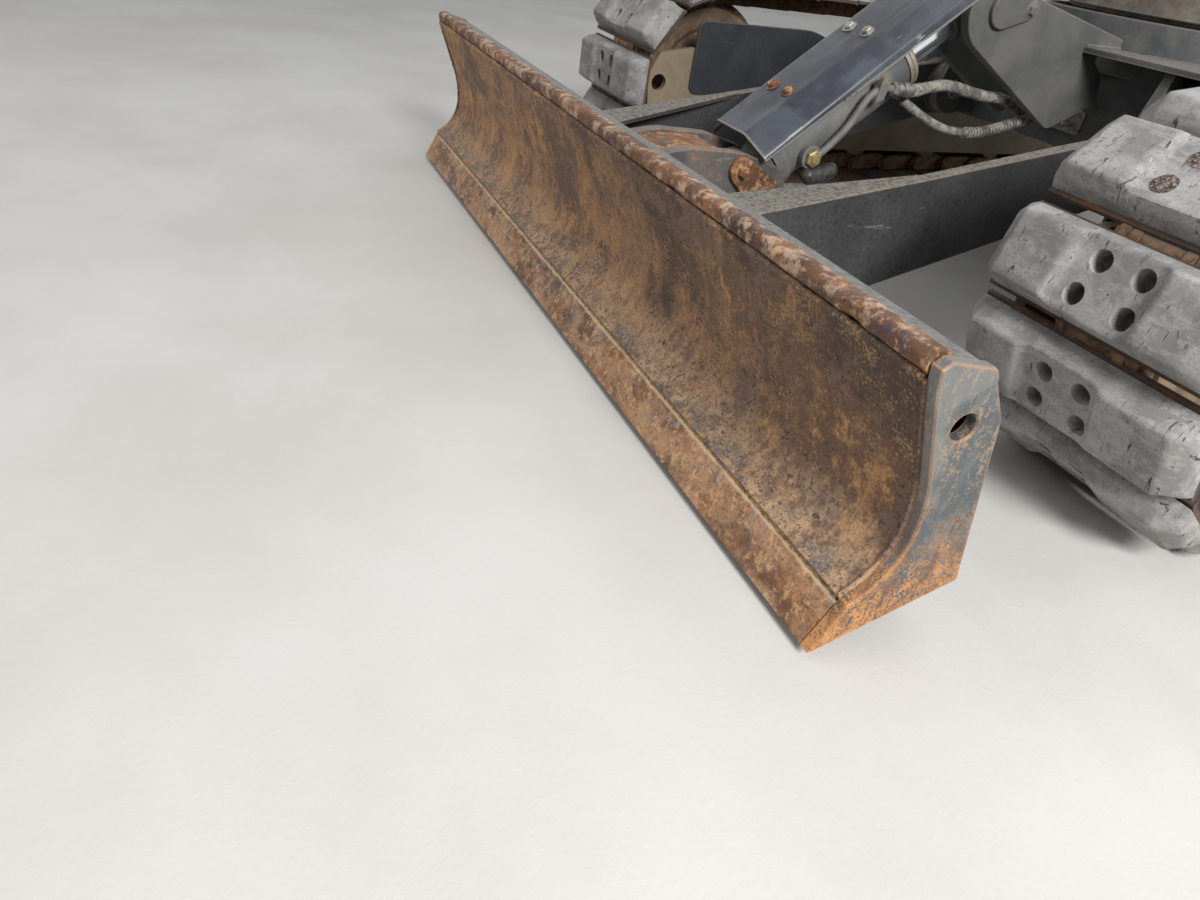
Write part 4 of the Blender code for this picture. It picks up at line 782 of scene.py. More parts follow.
for side, seed in (("right", 21), ("left", 22)):
    points, faces = along_chain(one_pad, side)
    spread = points + np.arange(SHOE_COUNT)[:, None, None] * 1.7
    face_share = np.clip((one_pad[0][:, 2] - 0.050) / 0.02, 0, 1)[None, :, None]
    middle, out = chain_places(FIRST_SHOE[side] + np.arange(SHOE_COUNT))
    sink = (0.0016 * ripple(spread, 0.09, seed) + 0.0011 * ripple(spread, 0.03, seed + 9) - 0.0014)
    points[..., 1:] += face_share * np.minimum(sink, 0.0)[..., None] * out[:, None]
    piece(f"pads_{side}", [several(points, faces)], rubber_finish, "undercarriage",
          [f"track_{side}"], sharp=38)

# Shoe plates: the pressed steel plates under the rubber, each lapping the next, with the heads of the
# four bolts that hold it to the chain. Rusted, with mud in their corners.

SHOE_HALF = 0.2245
SHOE_PLATE = 0.0080

shoe = Finish("shoe_steel")
tone, grain = rusted(shoe, 1.3)
tone = shoe.blend(tone, (0.085, 0.074, 0.064), shoe.noise(14.0, 5.0, 0.7).rise(0.34, 0.56) * 0.9)
shoe_finish = shoe.close(tone, 0.75, 0.25, relief=grain, depth=0.0006)
plate_line = np.array([(-0.079, 0.0205), (-0.076, 0.0215), (-0.066, 0.0215), (0.058, 0.0215),
                       (0.068, 0.0185), (0.074, 0.0165)])
plate_ring = np.vstack([plate_line, (plate_line + (0.0, SHOE_PLATE))[::-1]])
shoe_plate = bar_form(plate_ring, -SHOE_HALF, SHOE_HALF)
head = [(0.029, 0.0125), (0.042, 0.0125), (0.0435, 0.011)]
heads = [solid_form(head, (x, v, 0.0), (0, 0, 1), 6) for x, v in PAD_HOLES]
for side in ("right", "left"):
    forms = [several(*along_chain(form, side)) for form in (shoe_plate, *heads)]
    piece(f"shoe_plates_{side}", forms, shoe_finish, "undercarriage")

# Packed grit: gravel and dried mud, rammed by the ground into the bolt holes of one pad near the top
# of the right track's front, until they are level with the trough.

GRIT_SHOE = 1
GRIT_LEVEL = PAD_FACE - TROUGH_DEPTH - 0.0010
GRIT_R = 0.0183
GRIT_FOOT = 0.055

packed = Finish("packed_grit")
grains = packed.noise(330.0, 3.0, 0.65)
tone = packed.coats((0.040, 0.029, 0.024),
                    ((0.200, 0.152, 0.122), packed.noise(120.0, 4.0).rise(0.44, 0.60)),
                    ((0.460, 0.420, 0.375), grains.rise(0.55, 0.63) * 0.75))
packed_finish = packed.close(tone, 0.95, 0.0, relief=grains, depth=0.0016)
plug = [(GRIT_FOOT, 0.0), (GRIT_FOOT, 0.0172), *[(GRIT_LEVEL, r) for r in np.linspace(GRIT_R, 0.0, 16)]]
plugs = []
for number, (x, v) in enumerate(PAD_HOLES):
    points, faces = turned_form(plug, (x, v, 0.0), (0, 0, 1), 48)
    points[:, 2] += (points[:, 2] > GRIT_FOOT + 0.001) * 0.0016 * ripple(points, 0.005, 100 + number)
    placed, faces = along_chain((points, faces), "right")
    plugs.append((placed[GRIT_SHOE], faces))
piece("packed_grit_right", plugs, packed_finish, "undercarriage")

# Track chain: forged links in pairs, each joggled outwards to lap the next, on pins and bushings.
# Its steel is bright orange-brown where the dust has dried on rust.

LINK_IN = 0.046
LINK_THICK = 0.021
LINK_JOGGLE = 0.0105
LINK_END = 0.026          # radius of its round ends
LINK_BEND = 1.2           # how far round the pin each end is drawn


def link_form(sign):
    """One link: an outline round its two pins, given thickness, then moved sideways by a smooth step
    along its length so that its ends lap the neighbours' ends."""
    outline = np.vstack([arc((LINK_CHORD / 2, 0.0), LINK_END, -LINK_BEND, LINK_BEND, 6), [(0.045, 0.0195)],
                         [(-0.045, 0.0195)],
                         arc((-LINK_CHORD / 2, 0.0), LINK_END, math.pi - LINK_BEND, math.pi + LINK_BEND, 6),
                         [(-0.070, -0.0335)], [(0.070, -0.0335)]])
    points, faces = plate_form(softened(outline, 0.006, 2), -LINK_THICK / 2, LINK_THICK / 2, (), 0.0025)
    t = np.clip((points[:, 1] + 0.030) / 0.060, 0, 1)
    shift = LINK_IN + LINK_JOGGLE + LINK_JOGGLE * (2 * (3 * t ** 2 - 2 * t ** 3) - 1)
    return np.column_stack([sign * (points[:, 0] + shift), points[:, 1:]]), faces


chain = Finish("dusty_rusty_chain")
tone = chain.coats((0.170, 0.098, 0.058),
                   ((0.350, 0.210, 0.116), chain.noise(28.0, 6.0, 0.7).rise(0.40, 0.62)),
                   ((0.070, 0.045, 0.035), chain.noise(55.0, 5.0, 0.7).rise(0.54, 0.66) * 0.8),
                   ((0.360, 0.300, 0.230), chain.facing_up() * 0.6))
chain_finish = chain.close(tone, 0.72, 0.3, relief=chain.noise(260.0, 4.0, 0.7), depth=0.0008)
pin_place = (0.0, LINK_CHORD / 2, 0.0)
pin = solid_form([(-0.087, 0.0125), (-0.085, 0.0145), (0.085, 0.0145), (0.087, 0.0125)], pin_place,
                 (1, 0, 0), 14)
bushing = solid_form([(-0.036, 0.0215), (0.036, 0.0215)], pin_place, (1, 0, 0), 16)
for side in ("right", "left"):
    forms = [several(*along_chain(form, side)) for form in (link_form(1), link_form(-1), pin, bushing)]
    piece(f"chain_{side}", forms, chain_finish, "undercarriage")

# Push arms: thick plate welded to the blade's back, with a boss round the pivot pin at the rear and
# a gusset on top in the corner. Charcoal paint darkened to near black as painted shade, dusty on top and worn
# to brown along its edges.

ARM_X = 0.384
ARM_HALF = 0.016
ARM_PIVOT = (1.420, 0.475)
ARM_BOSS_R = 0.072
ARM_BOSS_HALF = 0.040
ARM_BORE = 0.0285
GUSSET_REACH = 0.110
ARM_FOOT = 0.330          # heights of the arm's top at the blade and at its bend
ARM_BEND = (0.710, 0.422)


def back_y(z):
    """Where the blade's back stands at a height: on the straight line from its waist to its heel."""
    share = (z - BACK_HEEL[1]) / (BACK_WAIST[1] - BACK_HEEL[1])
    return BACK_HEEL[0] + share * (BACK_WAIST[0] - BACK_HEEL[0])


def in_place(*forms):
    """Forms drawn from the cutting edge, moved to where the machine stands."""
    return [(points + np.array([0.0, MACHINE_FRONT, 0.0]), faces) for points, faces in forms]


def painted(name, deep, faded, dust=0.55, rust=0.5, gloss=0.55, dust_tone=(0.250, 0.235, 0.205),
            chips=0.0, wear_tone=(0.330, 0.300, 0.260)):
    """Old paint: two tones in broad clouds, fine specks, dust where it faces up, pale worn arrises
    and rust that starts at them."""
    coat = Finish(name)
    cloud = coat.noise(7.0, 5.0, 0.62, warp=0.5)
    fine = coat.noise(95.0, 5.0, 0.7)
    scrape = coat.noise(48.0, 4.0, 0.6, along=(1.0, 0.12, 1.0), warp=0.2)
    arris = coat.edges(0.006)
    settled = (coat.facing_up() * 0.75 + 0.12) * fine.rise(0.30, 0.62)
    wear = (arris * 0.42 + fine * 0.40 + cloud * 0.26).rise(0.60, 0.70)
    spots = (arris * 0.16 + fine * 0.55 + cloud * 0.35 + chips * 0.8).rise(0.60, 0.66) * rust
    tone = coat.coats(deep,
                      (faded, cloud.rise(0.34, 0.64)),
                      (dust_tone, settled * dust),
                      ((0.300, 0.285, 0.260), scrape.rise(0.66, 0.72) * 0.4),
                      (wear_tone, wear * 0.75),
                      ((0.330, 0.150, 0.062), spots))
    return coat.close(tone, gloss + (1.0 - gloss) * (fine * 0.35 + spots * 0.4), 0.0,
                      relief=fine * 0.5 + cloud * 0.3 - wear * 0.3, depth=0.0006)


def dress(finish, *names):
    """Gives CAD nodes a finish."""
    for name in names:
        for place in nodes[name].material_slots:
            place.material = finish


# The near-black tones of this paint are painted shade on the arms' sides, over charcoal paint.
arm_paint = painted("near_black_arm_painted_shade", (0.016, 0.018, 0.023), (0.036, 0.038, 0.042), dust=0.70,
                    rust=0.8, dust_tone=(0.340, 0.305, 0.250), wear_tone=(0.380, 0.250, 0.150))
gusset_front = back_y(ARM_FOOT)
arm_line = np.vstack([[(back_y(0.110), 0.110)], [(0.620, 0.180)], [(1.040, 0.300)],
                      arc(ARM_PIVOT, ARM_BOSS_R, math.radians(-68), math.radians(98), 20),
                      [(1.090, 0.492)], [ARM_BEND], [(gusset_front, ARM_FOOT)]])
slope = (ARM_BEND[1] - ARM_FOOT) / (ARM_BEND[0] - gusset_front)
ring_angle = np.linspace(-2.6, 2.9, 40)[18:31]
boss_half = [(ARM_BOSS_HALF - 0.003, ARM_BOSS_R), (ARM_BOSS_HALF, 0.069), (ARM_BOSS_HALF, ARM_BORE)]
boss_profile = [(-along, radius) for along, radius in reversed(boss_half)] + boss_half
pivot_bore = circle(ARM_PIVOT, ARM_BORE)
for side, sign in SIDES:
    middle_x = sign * ARM_X
    blank = plate_form(arm_line, middle_x - ARM_HALF, middle_x + ARM_HALF, [pivot_bore], 0.0022)
    boss = turned_form(boss_profile, (middle_x, *ARM_PIVOT), (1, 0, 0), 56, ring=True)
    inner = sign * (ARM_X - ARM_HALF + 0.002)
    tip_in = inner - sign * GUSSET_REACH
    gusset_line = [(inner, gusset_front), (tip_in, gusset_front), (tip_in, gusset_front + 0.030),
                   (inner, 0.700)]
    flat, flat_faces = plate_form(softened(gusset_line, 0.004, 2), -0.012, 0.0, (), 0.0015)
    gusset_z = ARM_FOOT + 0.002 + slope * (flat[:, 2] - gusset_front) + flat[:, 0]
    gusset = np.column_stack([flat[:, 1], flat[:, 2], gusset_z])
    piece(f"push_arm_plate_{side}", in_place(blank, boss, (gusset, flat_faces)), arm_paint, "blade",
          [f"push_arm_{side}"])
    seams = []
    for face in (-1, 1):
        x = middle_x + face * (ARM_HALF + 0.002)
        upright = [(x, back_y(z) + 0.002, z) for z in (0.114, 0.326)]
        seams.append(bead_form(np.array(upright), 0.0055, 30 + face))
        ring_line = np.column_stack([np.full(13, middle_x + face * (ARM_HALF + 0.001)),
                                     ARM_PIVOT[0] + 0.0735 * np.cos(ring_angle),
                                     ARM_PIVOT[1] + 0.0735 * np.sin(ring_angle)])
        seams.append(bead_form(ring_line, 0.0035, 40 + face))
    seam_y = gusset_front + 0.004
    seams.append(bead_form(np.array([(inner, seam_y, 0.334), (tip_in, seam_y, 0.334)]), 0.004, 50))
    piece(f"push_arm_welds_{side}", in_place(*seams), arm_paint, "blade")

# Pivot pins of the arms: ground steel, pushed through the arm's boss and held at both ends by the
# brackets under the deck.

BRACKET_CLEAR = 0.001
BRACKET_PLATE = 0.024
PIN_PROUD = 0.006
pin_steel = Finish("dull_steel")
tone = pin_steel.coats((0.330, 0.320, 0.310),
                       ((0.210, 0.150, 0.105), pin_steel.noise(40.0, 5.0, 0.7).rise(0.46, 0.62)))
pin_steel_finish = pin_steel.close(tone, 0.45, 0.75, relief=pin_steel.noise(220.0), depth=0.0003)
end = ARM_BOSS_HALF + BRACKET_CLEAR + BRACKET_PLATE + PIN_PROUD
for side, sign in SIDES:
    shaft = solid_form([(-end, 0.025), (-end + 0.003, 0.028), (end - 0.003, 0.028), (end, 0.025)],
                       (sign * ARM_X, *ARM_PIVOT), (1, 0, 0), 40)
    piece(f"arm_pivot_{side}", in_place(shaft), pin_steel_finish, "undercarriage",
          [f"arm_pin_{side}"])

# Blade's back: one plate bent over the top and under the heel, and welded to the moldboard. Painted,
# and dusty on its slopes.

back_paint = painted("blade_back_paint", (0.034, 0.038, 0.044), (0.080, 0.082, 0.082), dust=0.8, rust=0.75)
dress(back_paint, "blade_back")

# Blade ears: two plates with round ends that hold the cylinder's lower pin, and a curved web between
# them. A flag-shaped keeper and one bolt stop the pin. Chipped dark paint over orange rust.

LOWER_PIN = (0.505, 0.296)
CLEVIS_IN = 0.068
CLEVIS_OUT = 0.100
CLEVIS_R = 0.066
LOWER_BOLT = (0.436, 0.347)
CLEVIS_BORE = 0.0305
WEB_HALF = 0.0065


def bolt_forms(place, way, radius, height, washer=0.0025):
    """A hexagon head with a turned crown on a round washer, standing on a surface at place."""
    top = washer + height
    rim = radius * 1.38
    head = [(washer * 0.5, radius), (top - radius * 0.22, radius), (top, radius * 0.78)]
    disc = [(0.0, rim), (washer * 0.8, rim), (washer, radius * 1.28)]
    return [solid_form(head, place, way, 6), solid_form(disc, place, way, 24)]


def capsule(near, near_r, far, far_r, steps=18):
    """Outline round two circles of unlike radius, with their common tangents."""
    heading = math.atan2(far[1] - near[1], far[0] - near[0])
    lean = math.acos((near_r - far_r) / math.hypot(far[0] - near[0], far[1] - near[1]))
    return np.vstack([arc(near, near_r, heading + lean, heading + 2 * math.pi - lean, 2 * steps),
                      arc(far, far_r, heading - lean, heading + lean, steps)])


ear_paint = painted("chipped_ear_paint", (0.055, 0.055, 0.063), (0.135, 0.122, 0.108), dust=0.4,
                    rust=1.0, chips=0.14, wear_tone=(0.330, 0.190, 0.120))
clevis_top = [(0.470, 0.3800), (0.420, 0.385), (0.300, 0.392), (back_y(0.368), 0.368)]
clevis = np.vstack([[(back_y(0.160), 0.160)],
                    arc(LOWER_PIN, CLEVIS_R, math.radians(-100), math.radians(75), 30),
                    softened(clevis_top, 0.02, 4, closed=False)[1:]])
for side, sign in SIDES:
    x = sorted((sign * CLEVIS_IN, sign * CLEVIS_OUT))
    forms = [plate_form(clevis, *x, [circle(LOWER_PIN, CLEVIS_BORE, 40)], 0.0022)]
    for number, face in enumerate(x):
        upright = [(face, back_y(z) + 0.002, z) for z in (0.165, 0.362)]
        forms.append(bead_form(np.array(upright), 0.006, 60 + number))
    piece(f"blade_ear_plate_{side}", in_place(*forms), ear_paint, "blade", [f"blade_ear_{side}"])

ear_rust = Finish("rusty_ear_steel")
tone, grain = rusted(ear_rust, 1.8)
dark = ear_rust.noise(30.0, 5.0, 0.7, warp=0.6)
tone = ear_rust.coats(tone,
                      ((0.500, 0.290, 0.150), ear_rust.noise(48.0, 5.0, 0.7).rise(0.48, 0.64) * 0.85),
                      ((0.110, 0.085, 0.095), dark.rise(0.56, 0.63) * 0.75))
ear_relief = grain * 0.5 + ear_rust.noise(60.0) * 0.5
ear_rust_finish = ear_rust.close(tone, 0.7, 0.25, relief=ear_relief, depth=0.0008)
web_line = softened([(back_y(0.359), 0.359), (0.300, 0.379), (0.400, 0.373)], 0.035, 6, closed=False)
web_section = np.vstack([web_line + (0.0, WEB_HALF), (web_line - (0.0, WEB_HALF))[::-1]])
web = bar_form(web_section, -CLEVIS_IN + 0.0003, CLEVIS_IN - 0.0003, 2)
piece("ear_web_plate", in_place(web), ear_rust_finish, "blade", ["blade_ear_web"])
keeper_line = capsule(LOWER_PIN, 0.042, LOWER_BOLT, 0.030)
keeper = plate_form(keeper_line, CLEVIS_OUT + 0.0003, CLEVIS_OUT + 0.0123, (), 0.002)
lower_place = (0.0, *LOWER_PIN)
shaft = solid_form([(-0.108, 0.027), (-0.105, 0.030), (0.110, 0.030), (0.1115, 0.0285)], lower_place,
                   (1, 0, 0), 48)
centre_mark = solid_form([(0.1105, 0.0105), (0.1145, 0.0095)], lower_place, (1, 0, 0), 24)
bolt = bolt_forms((0.1123, *LOWER_BOLT), (1, 0, 0), 0.015, 0.0115)
piece("lower_pin_and_keeper", in_place(keeper, shaft, centre_mark, *bolt), ear_rust_finish, "blade",
      ["lower_pin"])

# Blade cylinder: a steel tube with a collar at its closed end, a screwed gland, and a chromed rod.
# Grey-blue paint under a coat of dust, with yellow-orange rust at the collar.

UPPER_PIN = (1.055, 0.722)
CYLINDER_RUN = UPPER_PIN[0] - LOWER_PIN[0]
CYLINDER_CLIMB = UPPER_PIN[1] - LOWER_PIN[1]
CYLINDER_TILT = math.atan2(CYLINDER_CLIMB, CYLINDER_RUN)
PIN_SPAN = math.hypot(CYLINDER_CLIMB, CYLINDER_RUN)
CYLINDER_WAY = np.array([0.0, math.cos(CYLINDER_TILT), math.sin(CYLINDER_TILT)])
CYLINDER_UP = np.array([0.0, -math.sin(CYLINDER_TILT), math.cos(CYLINDER_TILT)])
CYLINDER_FOOT = np.array([0.0, *LOWER_PIN])
BARREL_R = 0.065
COLLAR_R = 0.071
BARREL_END = 0.482
GLAND_START = 0.4583
ROD_R = 0.035
EYE_R = 0.060
FRONT_PORT = (0.0, 0.8591, 0.5247)
REAR_PORT = (0.0, 0.639, 0.373)


def on_cylinder(*forms):
    """Forms drawn as x, along the rod and square to it, turned to the cylinder's own line."""
    return [(CYLINDER_FOOT + points[:, :1] * (1, 0, 0) + points[:, 1:2] * CYLINDER_WAY
             + points[:, 2:3] * CYLINDER_UP, faces) for points, faces in forms]


def round_line(profile, steps=72, ring=False):
    """A profile turned about the cylinder's own line."""
    return turned_form(profile, CYLINDER_FOOT, CYLINDER_WAY, steps, ring)


barrel_paint = painted("dusty_barrel_paint", (0.080, 0.086, 0.092), (0.190, 0.185, 0.172), dust=0.85,
                       rust=0.7)
barrel_line = [(0.030, 0.0), (0.030, 0.050), (0.072, 0.062), (0.072, COLLAR_R), (0.098, COLLAR_R),
               (0.098, BARREL_R), (0.4577, BARREL_R), (0.4577, 0.0)]
barrel = round_line(softened(barrel_line, 0.0022, 3, closed=False))
collar_weld = round_line(circle((0.100, BARREL_R), 0.0045, 8), ring=True)
eye_half = [(0.059, EYE_R), (0.062, 0.057), (0.062, CLEVIS_BORE)]
eye_profile = [(-along, radius) for along, radius in reversed(eye_half)] + eye_half
barrel_eye = turned_form(eye_profile, CYLINDER_FOOT, (1, 0, 0), 56, ring=True)
port = solid_form([(0.040, 0.016), (0.073, 0.016), (0.075, 0.014)], FRONT_PORT, (1, 0, 0), 6)
rear_port = solid_form([(0.030, 0.022), (0.064, 0.022), (0.0655, 0.020)], REAR_PORT, (1, 0, 0), 32)
piece("cylinder_tube", in_place(barrel, collar_weld, barrel_eye, port, rear_port), barrel_paint, "barrel",
      ["cylinder_barrel"])

gland_steel = Finish("gland_steel")
tone = gland_steel.coats((0.300, 0.280, 0.240),
                         ((0.440, 0.330, 0.150), gland_steel.noise(30.0, 5.0, 0.7).rise(0.45, 0.66)),
                         ((0.110, 0.090, 0.075), gland_steel.noise(80.0, 4.0).rise(0.55, 0.70) * 0.7))
gland_finish = gland_steel.close(tone, 0.55, 0.4, relief=gland_steel.noise(240.0), depth=0.0004)
gland = round_line([(GLAND_START, 0.0355), (GLAND_START, 0.068), (0.4593, 0.069), (0.466, 0.069),
                    (0.4670, 0.0672), (0.4690, 0.0672), (0.470, 0.069), (0.477, 0.069),
                    (BARREL_END, BARREL_R), (BARREL_END, 0.040), (0.4805, 0.0355)], ring=True)
piece("gland_ring", in_place(gland), gland_finish, "barrel", ["cylinder_gland"])

chrome = Finish("hard_chrome")
smear = chrome.noise(30.0, 5.0, 0.7, along=(1.0, 0.3, 0.3))
tone = chrome.blend((0.760, 0.780, 0.820), (0.560, 0.560, 0.560), smear.rise(0.50, 0.66) * 0.5)
chrome_finish = chrome.close(tone, 0.10 + smear * 0.12, 0.95, relief=smear, depth=0.00003)
rod_end = PIN_SPAN - 0.052
rod = round_line([(0.300, 0.0), (0.300, 0.032), (0.303, ROD_R), (rod_end, ROD_R), (rod_end, 0.0)], 64)
piece("chrome_rod", in_place(rod), chrome_finish, "rod", ["cylinder_rod"])
socket_from = PIN_SPAN - 0.082
socket_to = PIN_SPAN - 0.030
socket_line = [(socket_from, 0.0), (socket_from, 0.041), (socket_to, 0.044), (socket_to, 0.0)]
eye_socket = round_line(softened(socket_line, 0.002, 2, closed=False), 56)
rod_eye = solid_form([(-0.045, 0.057), (-0.042, EYE_R), (0.042, EYE_R), (0.045, 0.057)], (0.0, *UPPER_PIN),
                     (1, 0, 0), 56)
piece("rod_eye_casting", in_place(eye_socket, rod_eye), barrel_paint, "rod")

# Guard: sheet steel folded to a hood over the cylinder, on four bolts with spacers. Its blue-black
# paint is the glossiest on the machine, scratched lengthwise and chipped along its shoulders.

GUARD_TOP = 0.130
GUARD_SHEET = 0.005
GUARD_ENDS = (   # front and rear section: edge, shoulder and top, as way out from the middle and height
    ((0.125, 0.074), (0.123, 0.084), (0.064, GUARD_TOP)),
    ((0.121, 0.075), (0.112, 0.101), (0.064, GUARD_TOP)))
GUARD_FROM = 0.030
GUARD_TO = 0.640
HOOD_ROWS = 60
SPACER_R = 0.010
guard_rings = []
for section in GUARD_ENDS:
    whole = [(-x, z) for x, z in section] + [(x, z) for x, z in reversed(section)]
    outer = softened(whole, 0.008, 6, closed=False)
    guard_rings.append(np.vstack([outer, moved_aside(outer, GUARD_SHEET)[::-1]]))
front_ring, rear_ring = guard_rings
taper = np.linspace(0, 1, HOOD_ROWS)[:, None]
hood = np.empty((HOOD_ROWS, len(front_ring), 3))
hood[..., 0] = front_ring[:, 0] * (1 - taper) + rear_ring[:, 0] * taper
hood[..., 1] = np.linspace(GUARD_FROM, GUARD_TO, HOOD_ROWS)[:, None]
hood[..., 2] = front_ring[:, 1] * (1 - taper) + rear_ring[:, 1] * taper
hood[..., 2] += 0.0007 * ripple(hood * (1, 1, 0.2), 0.20, 70) - 0.0007
hood_forms = on_cylinder(grid_form(hood, round_columns=True, capped=True))
bolt_places = [(x, along) for along in (0.176, 0.398) for x in (-0.033, 0.033)]
for x, along in bolt_places:
    foot = math.sqrt(BARREL_R ** 2 - (abs(x) - SPACER_R) ** 2)
    spacer = [(foot, SPACER_R), (GUARD_TOP - 0.004, SPACER_R)]
    hood_forms += on_cylinder(solid_form(spacer, (x, along, 0.0), (0, 0, 1), 20))

hood_paint = Finish("glossy_hood_paint")
fine = hood_paint.noise(120.0, 5.0, 0.7)
cloud = hood_paint.noise(8.0, 5.0, 0.62, warp=0.4)
drag = hood_paint.noise(34.0, 6.0, 0.62, along=(1.0, 0.10, 0.10), warp=0.2)
thin = hood_paint.noise(150.0, 3.0, 0.55, along=(1.0, 0.05, 0.05), warp=0.1)
arris = hood_paint.edges(0.012)
front = hood_paint.axis("Y").rise(-1.02, -1.16)
chips = (arris * 0.30 + fine * 0.46 + cloud * 0.22 + front * 0.040).rise(0.565, 0.60)
# The lifted base tone and the blue-grey clouds over the blue-black paint are partly painted reflection of a
# pale sky, and partly uneven paint.
tone = hood_paint.coats((0.018, 0.022, 0.033),
                        ((0.052, 0.059, 0.074), cloud.rise(0.40, 0.62)),
                        ((0.130, 0.130, 0.128), hood_paint.facing_up() * drag.rise(0.48, 0.66) * 0.35),
                        ((0.360, 0.350, 0.330), thin.rise(0.685, 0.72) * 0.65),
                        ((0.400, 0.340, 0.280), chips * 0.85))
hood_finish = hood_paint.close(tone, 0.22 + drag * 0.20 + chips * 0.35, 0.0,
                               relief=fine * 0.2 - chips * 0.5 + cloud * 0.5, depth=0.0005)
piece("cylinder_hood", in_place(*hood_forms), hood_finish, "barrel", ["cylinder_guard"])
for number, (x, along) in enumerate(bolt_places):
    finish, slot = (ear_rust_finish, "rust") if along < 0.3 else (pin_steel_finish, "steel")
    bolt = bolt_forms((x, along, GUARD_TOP - 0.0008), (0, 0, 1), 0.0125, 0.0075)
    piece(f"hood_bolt_{number + 1}", in_place(*on_cylinder(*bolt)), finish, "barrel")

# Steel line: seamless tube bent along the barrel, from a banjo fitting at its closed end to a nut at
# the upper hose, with a clamp block on its rear bend. Painted with the cylinder, dusty. A black rubber
# sleeve lies under the banjo, and the banjo's bolt and the clamp's are zinc yellow.


def smooth_route(route, count):
    """Points on a smooth curve through a route: each span is the cubic whose slopes at its ends are
    half the way between the neighbouring points."""
    p = np.asarray(route, float)
    p = np.vstack([2 * p[0] - p[1], p, 2 * p[-1] - p[-2]])
    place = np.linspace(0, len(p) - 3, count + 1)
    k = np.minimum(place.astype(int), len(p) - 4)
    t = (place - k)[:, None]
    a, b, c, d = p[k], p[k + 1], p[k + 2], p[k + 3]
    square = 2 * a - 5 * b + 4 * c - d
    cube = 3 * b - a - 3 * c + d
    return 0.5 * (2 * b + (c - a) * t + square * t ** 2 + cube * t ** 3)


def swept_form(line, radius, sides=16):
    """A tube along a line: each point plus the radius times a unit circle square to the line. The
    radius is one number or a (row, side) array."""
    way = np.gradient(line, axis=0)
    way /= np.linalg.norm(way, axis=1, keepdims=True)
    side = np.cross(way, (1.0, 0.0, 0.0))
    side /= np.linalg.norm(side, axis=1, keepdims=True)
    up = np.cross(way, side)
    angle = np.linspace(0, 2 * math.pi, sides, endpoint=False)[None, :, None]
    ring = np.cos(angle) * side[:, None] + np.sin(angle) * up[:, None]
    radius = np.broadcast_to(np.asarray(radius, float), (len(line), sides))[..., None]
    return grid_form(line[:, None] + radius * ring, round_columns=True, capped=True)


LINE_R = 0.009
LINE_END = (0.090, 0.8225, 0.536)
line_route = [(0.088, 0.645, 0.377), (0.088, 0.665, 0.392), (0.088, 0.693, 0.420), (0.088, 0.717, 0.451),
              (0.089, 0.735, 0.488), (0.090, 0.755, 0.520), (0.090, 0.787, 0.536), (0.090, 0.8105, 0.536),
              LINE_END]
line = swept_form(smooth_route(line_route, 70), LINE_R)
nut = solid_form([(-0.013, 0.0135), (-0.0115, 0.0155), (-0.001, 0.0155), (0.0, 0.014)], LINE_END,
                 (0, 1, 0), 6)
clamp = plate_form(softened([(0.762, 0.505), (0.786, 0.512), (0.792, 0.553), (0.768, 0.552)], 0.004, 3),
                   0.0765, 0.1035, (), 0.002)
banjo = solid_form([(0.0655, 0.0250), (0.0670, 0.027), (0.0835, 0.027), (0.0855, 0.0250)], REAR_PORT,
                   (1, 0, 0), 40)
piece("steel_line_tube", in_place(line, nut, clamp, banjo), barrel_paint, "barrel", ["steel_line"])

LOBE_R = 0.0205
lobe_line = smooth_route([(0.080, 0.624, 0.330), (0.083, 0.650, 0.331), (0.083, 0.690, 0.339),
                          (0.078, 0.722, 0.350)], 40)
lobe_r = LOBE_R * (1.0 - np.linspace(-0.985, 0.985, 41) ** 4)[:, None] ** 0.5
lobe_r = lobe_r * (1.0 + 0.10 * ripple(lobe_line, 0.030, 41)[:, None])
sleeve = Finish("black_rubber_sleeve")
tone = sleeve.blend((0.022, 0.022, 0.023), (0.070, 0.067, 0.062),
                    sleeve.noise(30.0, 5.0, 0.7).rise(0.45, 0.62))
sleeve_finish = sleeve.close(tone, 0.30 + sleeve.noise(50.0) * 0.3, 0.0, relief=sleeve.noise(90.0),
                             depth=0.0008)
piece("line_sleeve", in_place(swept_form(lobe_line, lobe_r, 28)), sleeve_finish, "barrel")

yellow = Finish("zinc_yellow")
tone = yellow.blend((0.480, 0.380, 0.160), (0.300, 0.230, 0.130), yellow.noise(90.0).rise(0.40, 0.65))
yellow_finish = yellow.close(tone, 0.45, 0.5, relief=yellow.noise(300.0), depth=0.0003)
banjo_head = solid_form([(0.0855, 0.0185), (0.0870, 0.0205), (0.0955, 0.0205), (0.0985, 0.0165)],
                        REAR_PORT, (1, 0, 0), 6)
banjo_cap = solid_form([(0.0985, 0.0120), (0.1015, 0.0100)], REAR_PORT, (1, 0, 0), 24)
piece("banjo_bolt", in_place(banjo_head, banjo_cap), yellow_finish, "barrel")
clamp_bolt = bolt_forms((0.090, 0.780, 0.5525), (0, -0.05, 1.0), 0.008, 0.006, 0.0015)
piece("clamp_bolt", in_place(*clamp_bolt), yellow_finish, "barrel")

# Hoses: rubber under a woven cover, one to each end of the cylinder. They cross between the ears to
# fittings on the centre frame. The lower one has a spiral wrap over its rear half, and a steel crimp
# joins the upper one to the steel line.

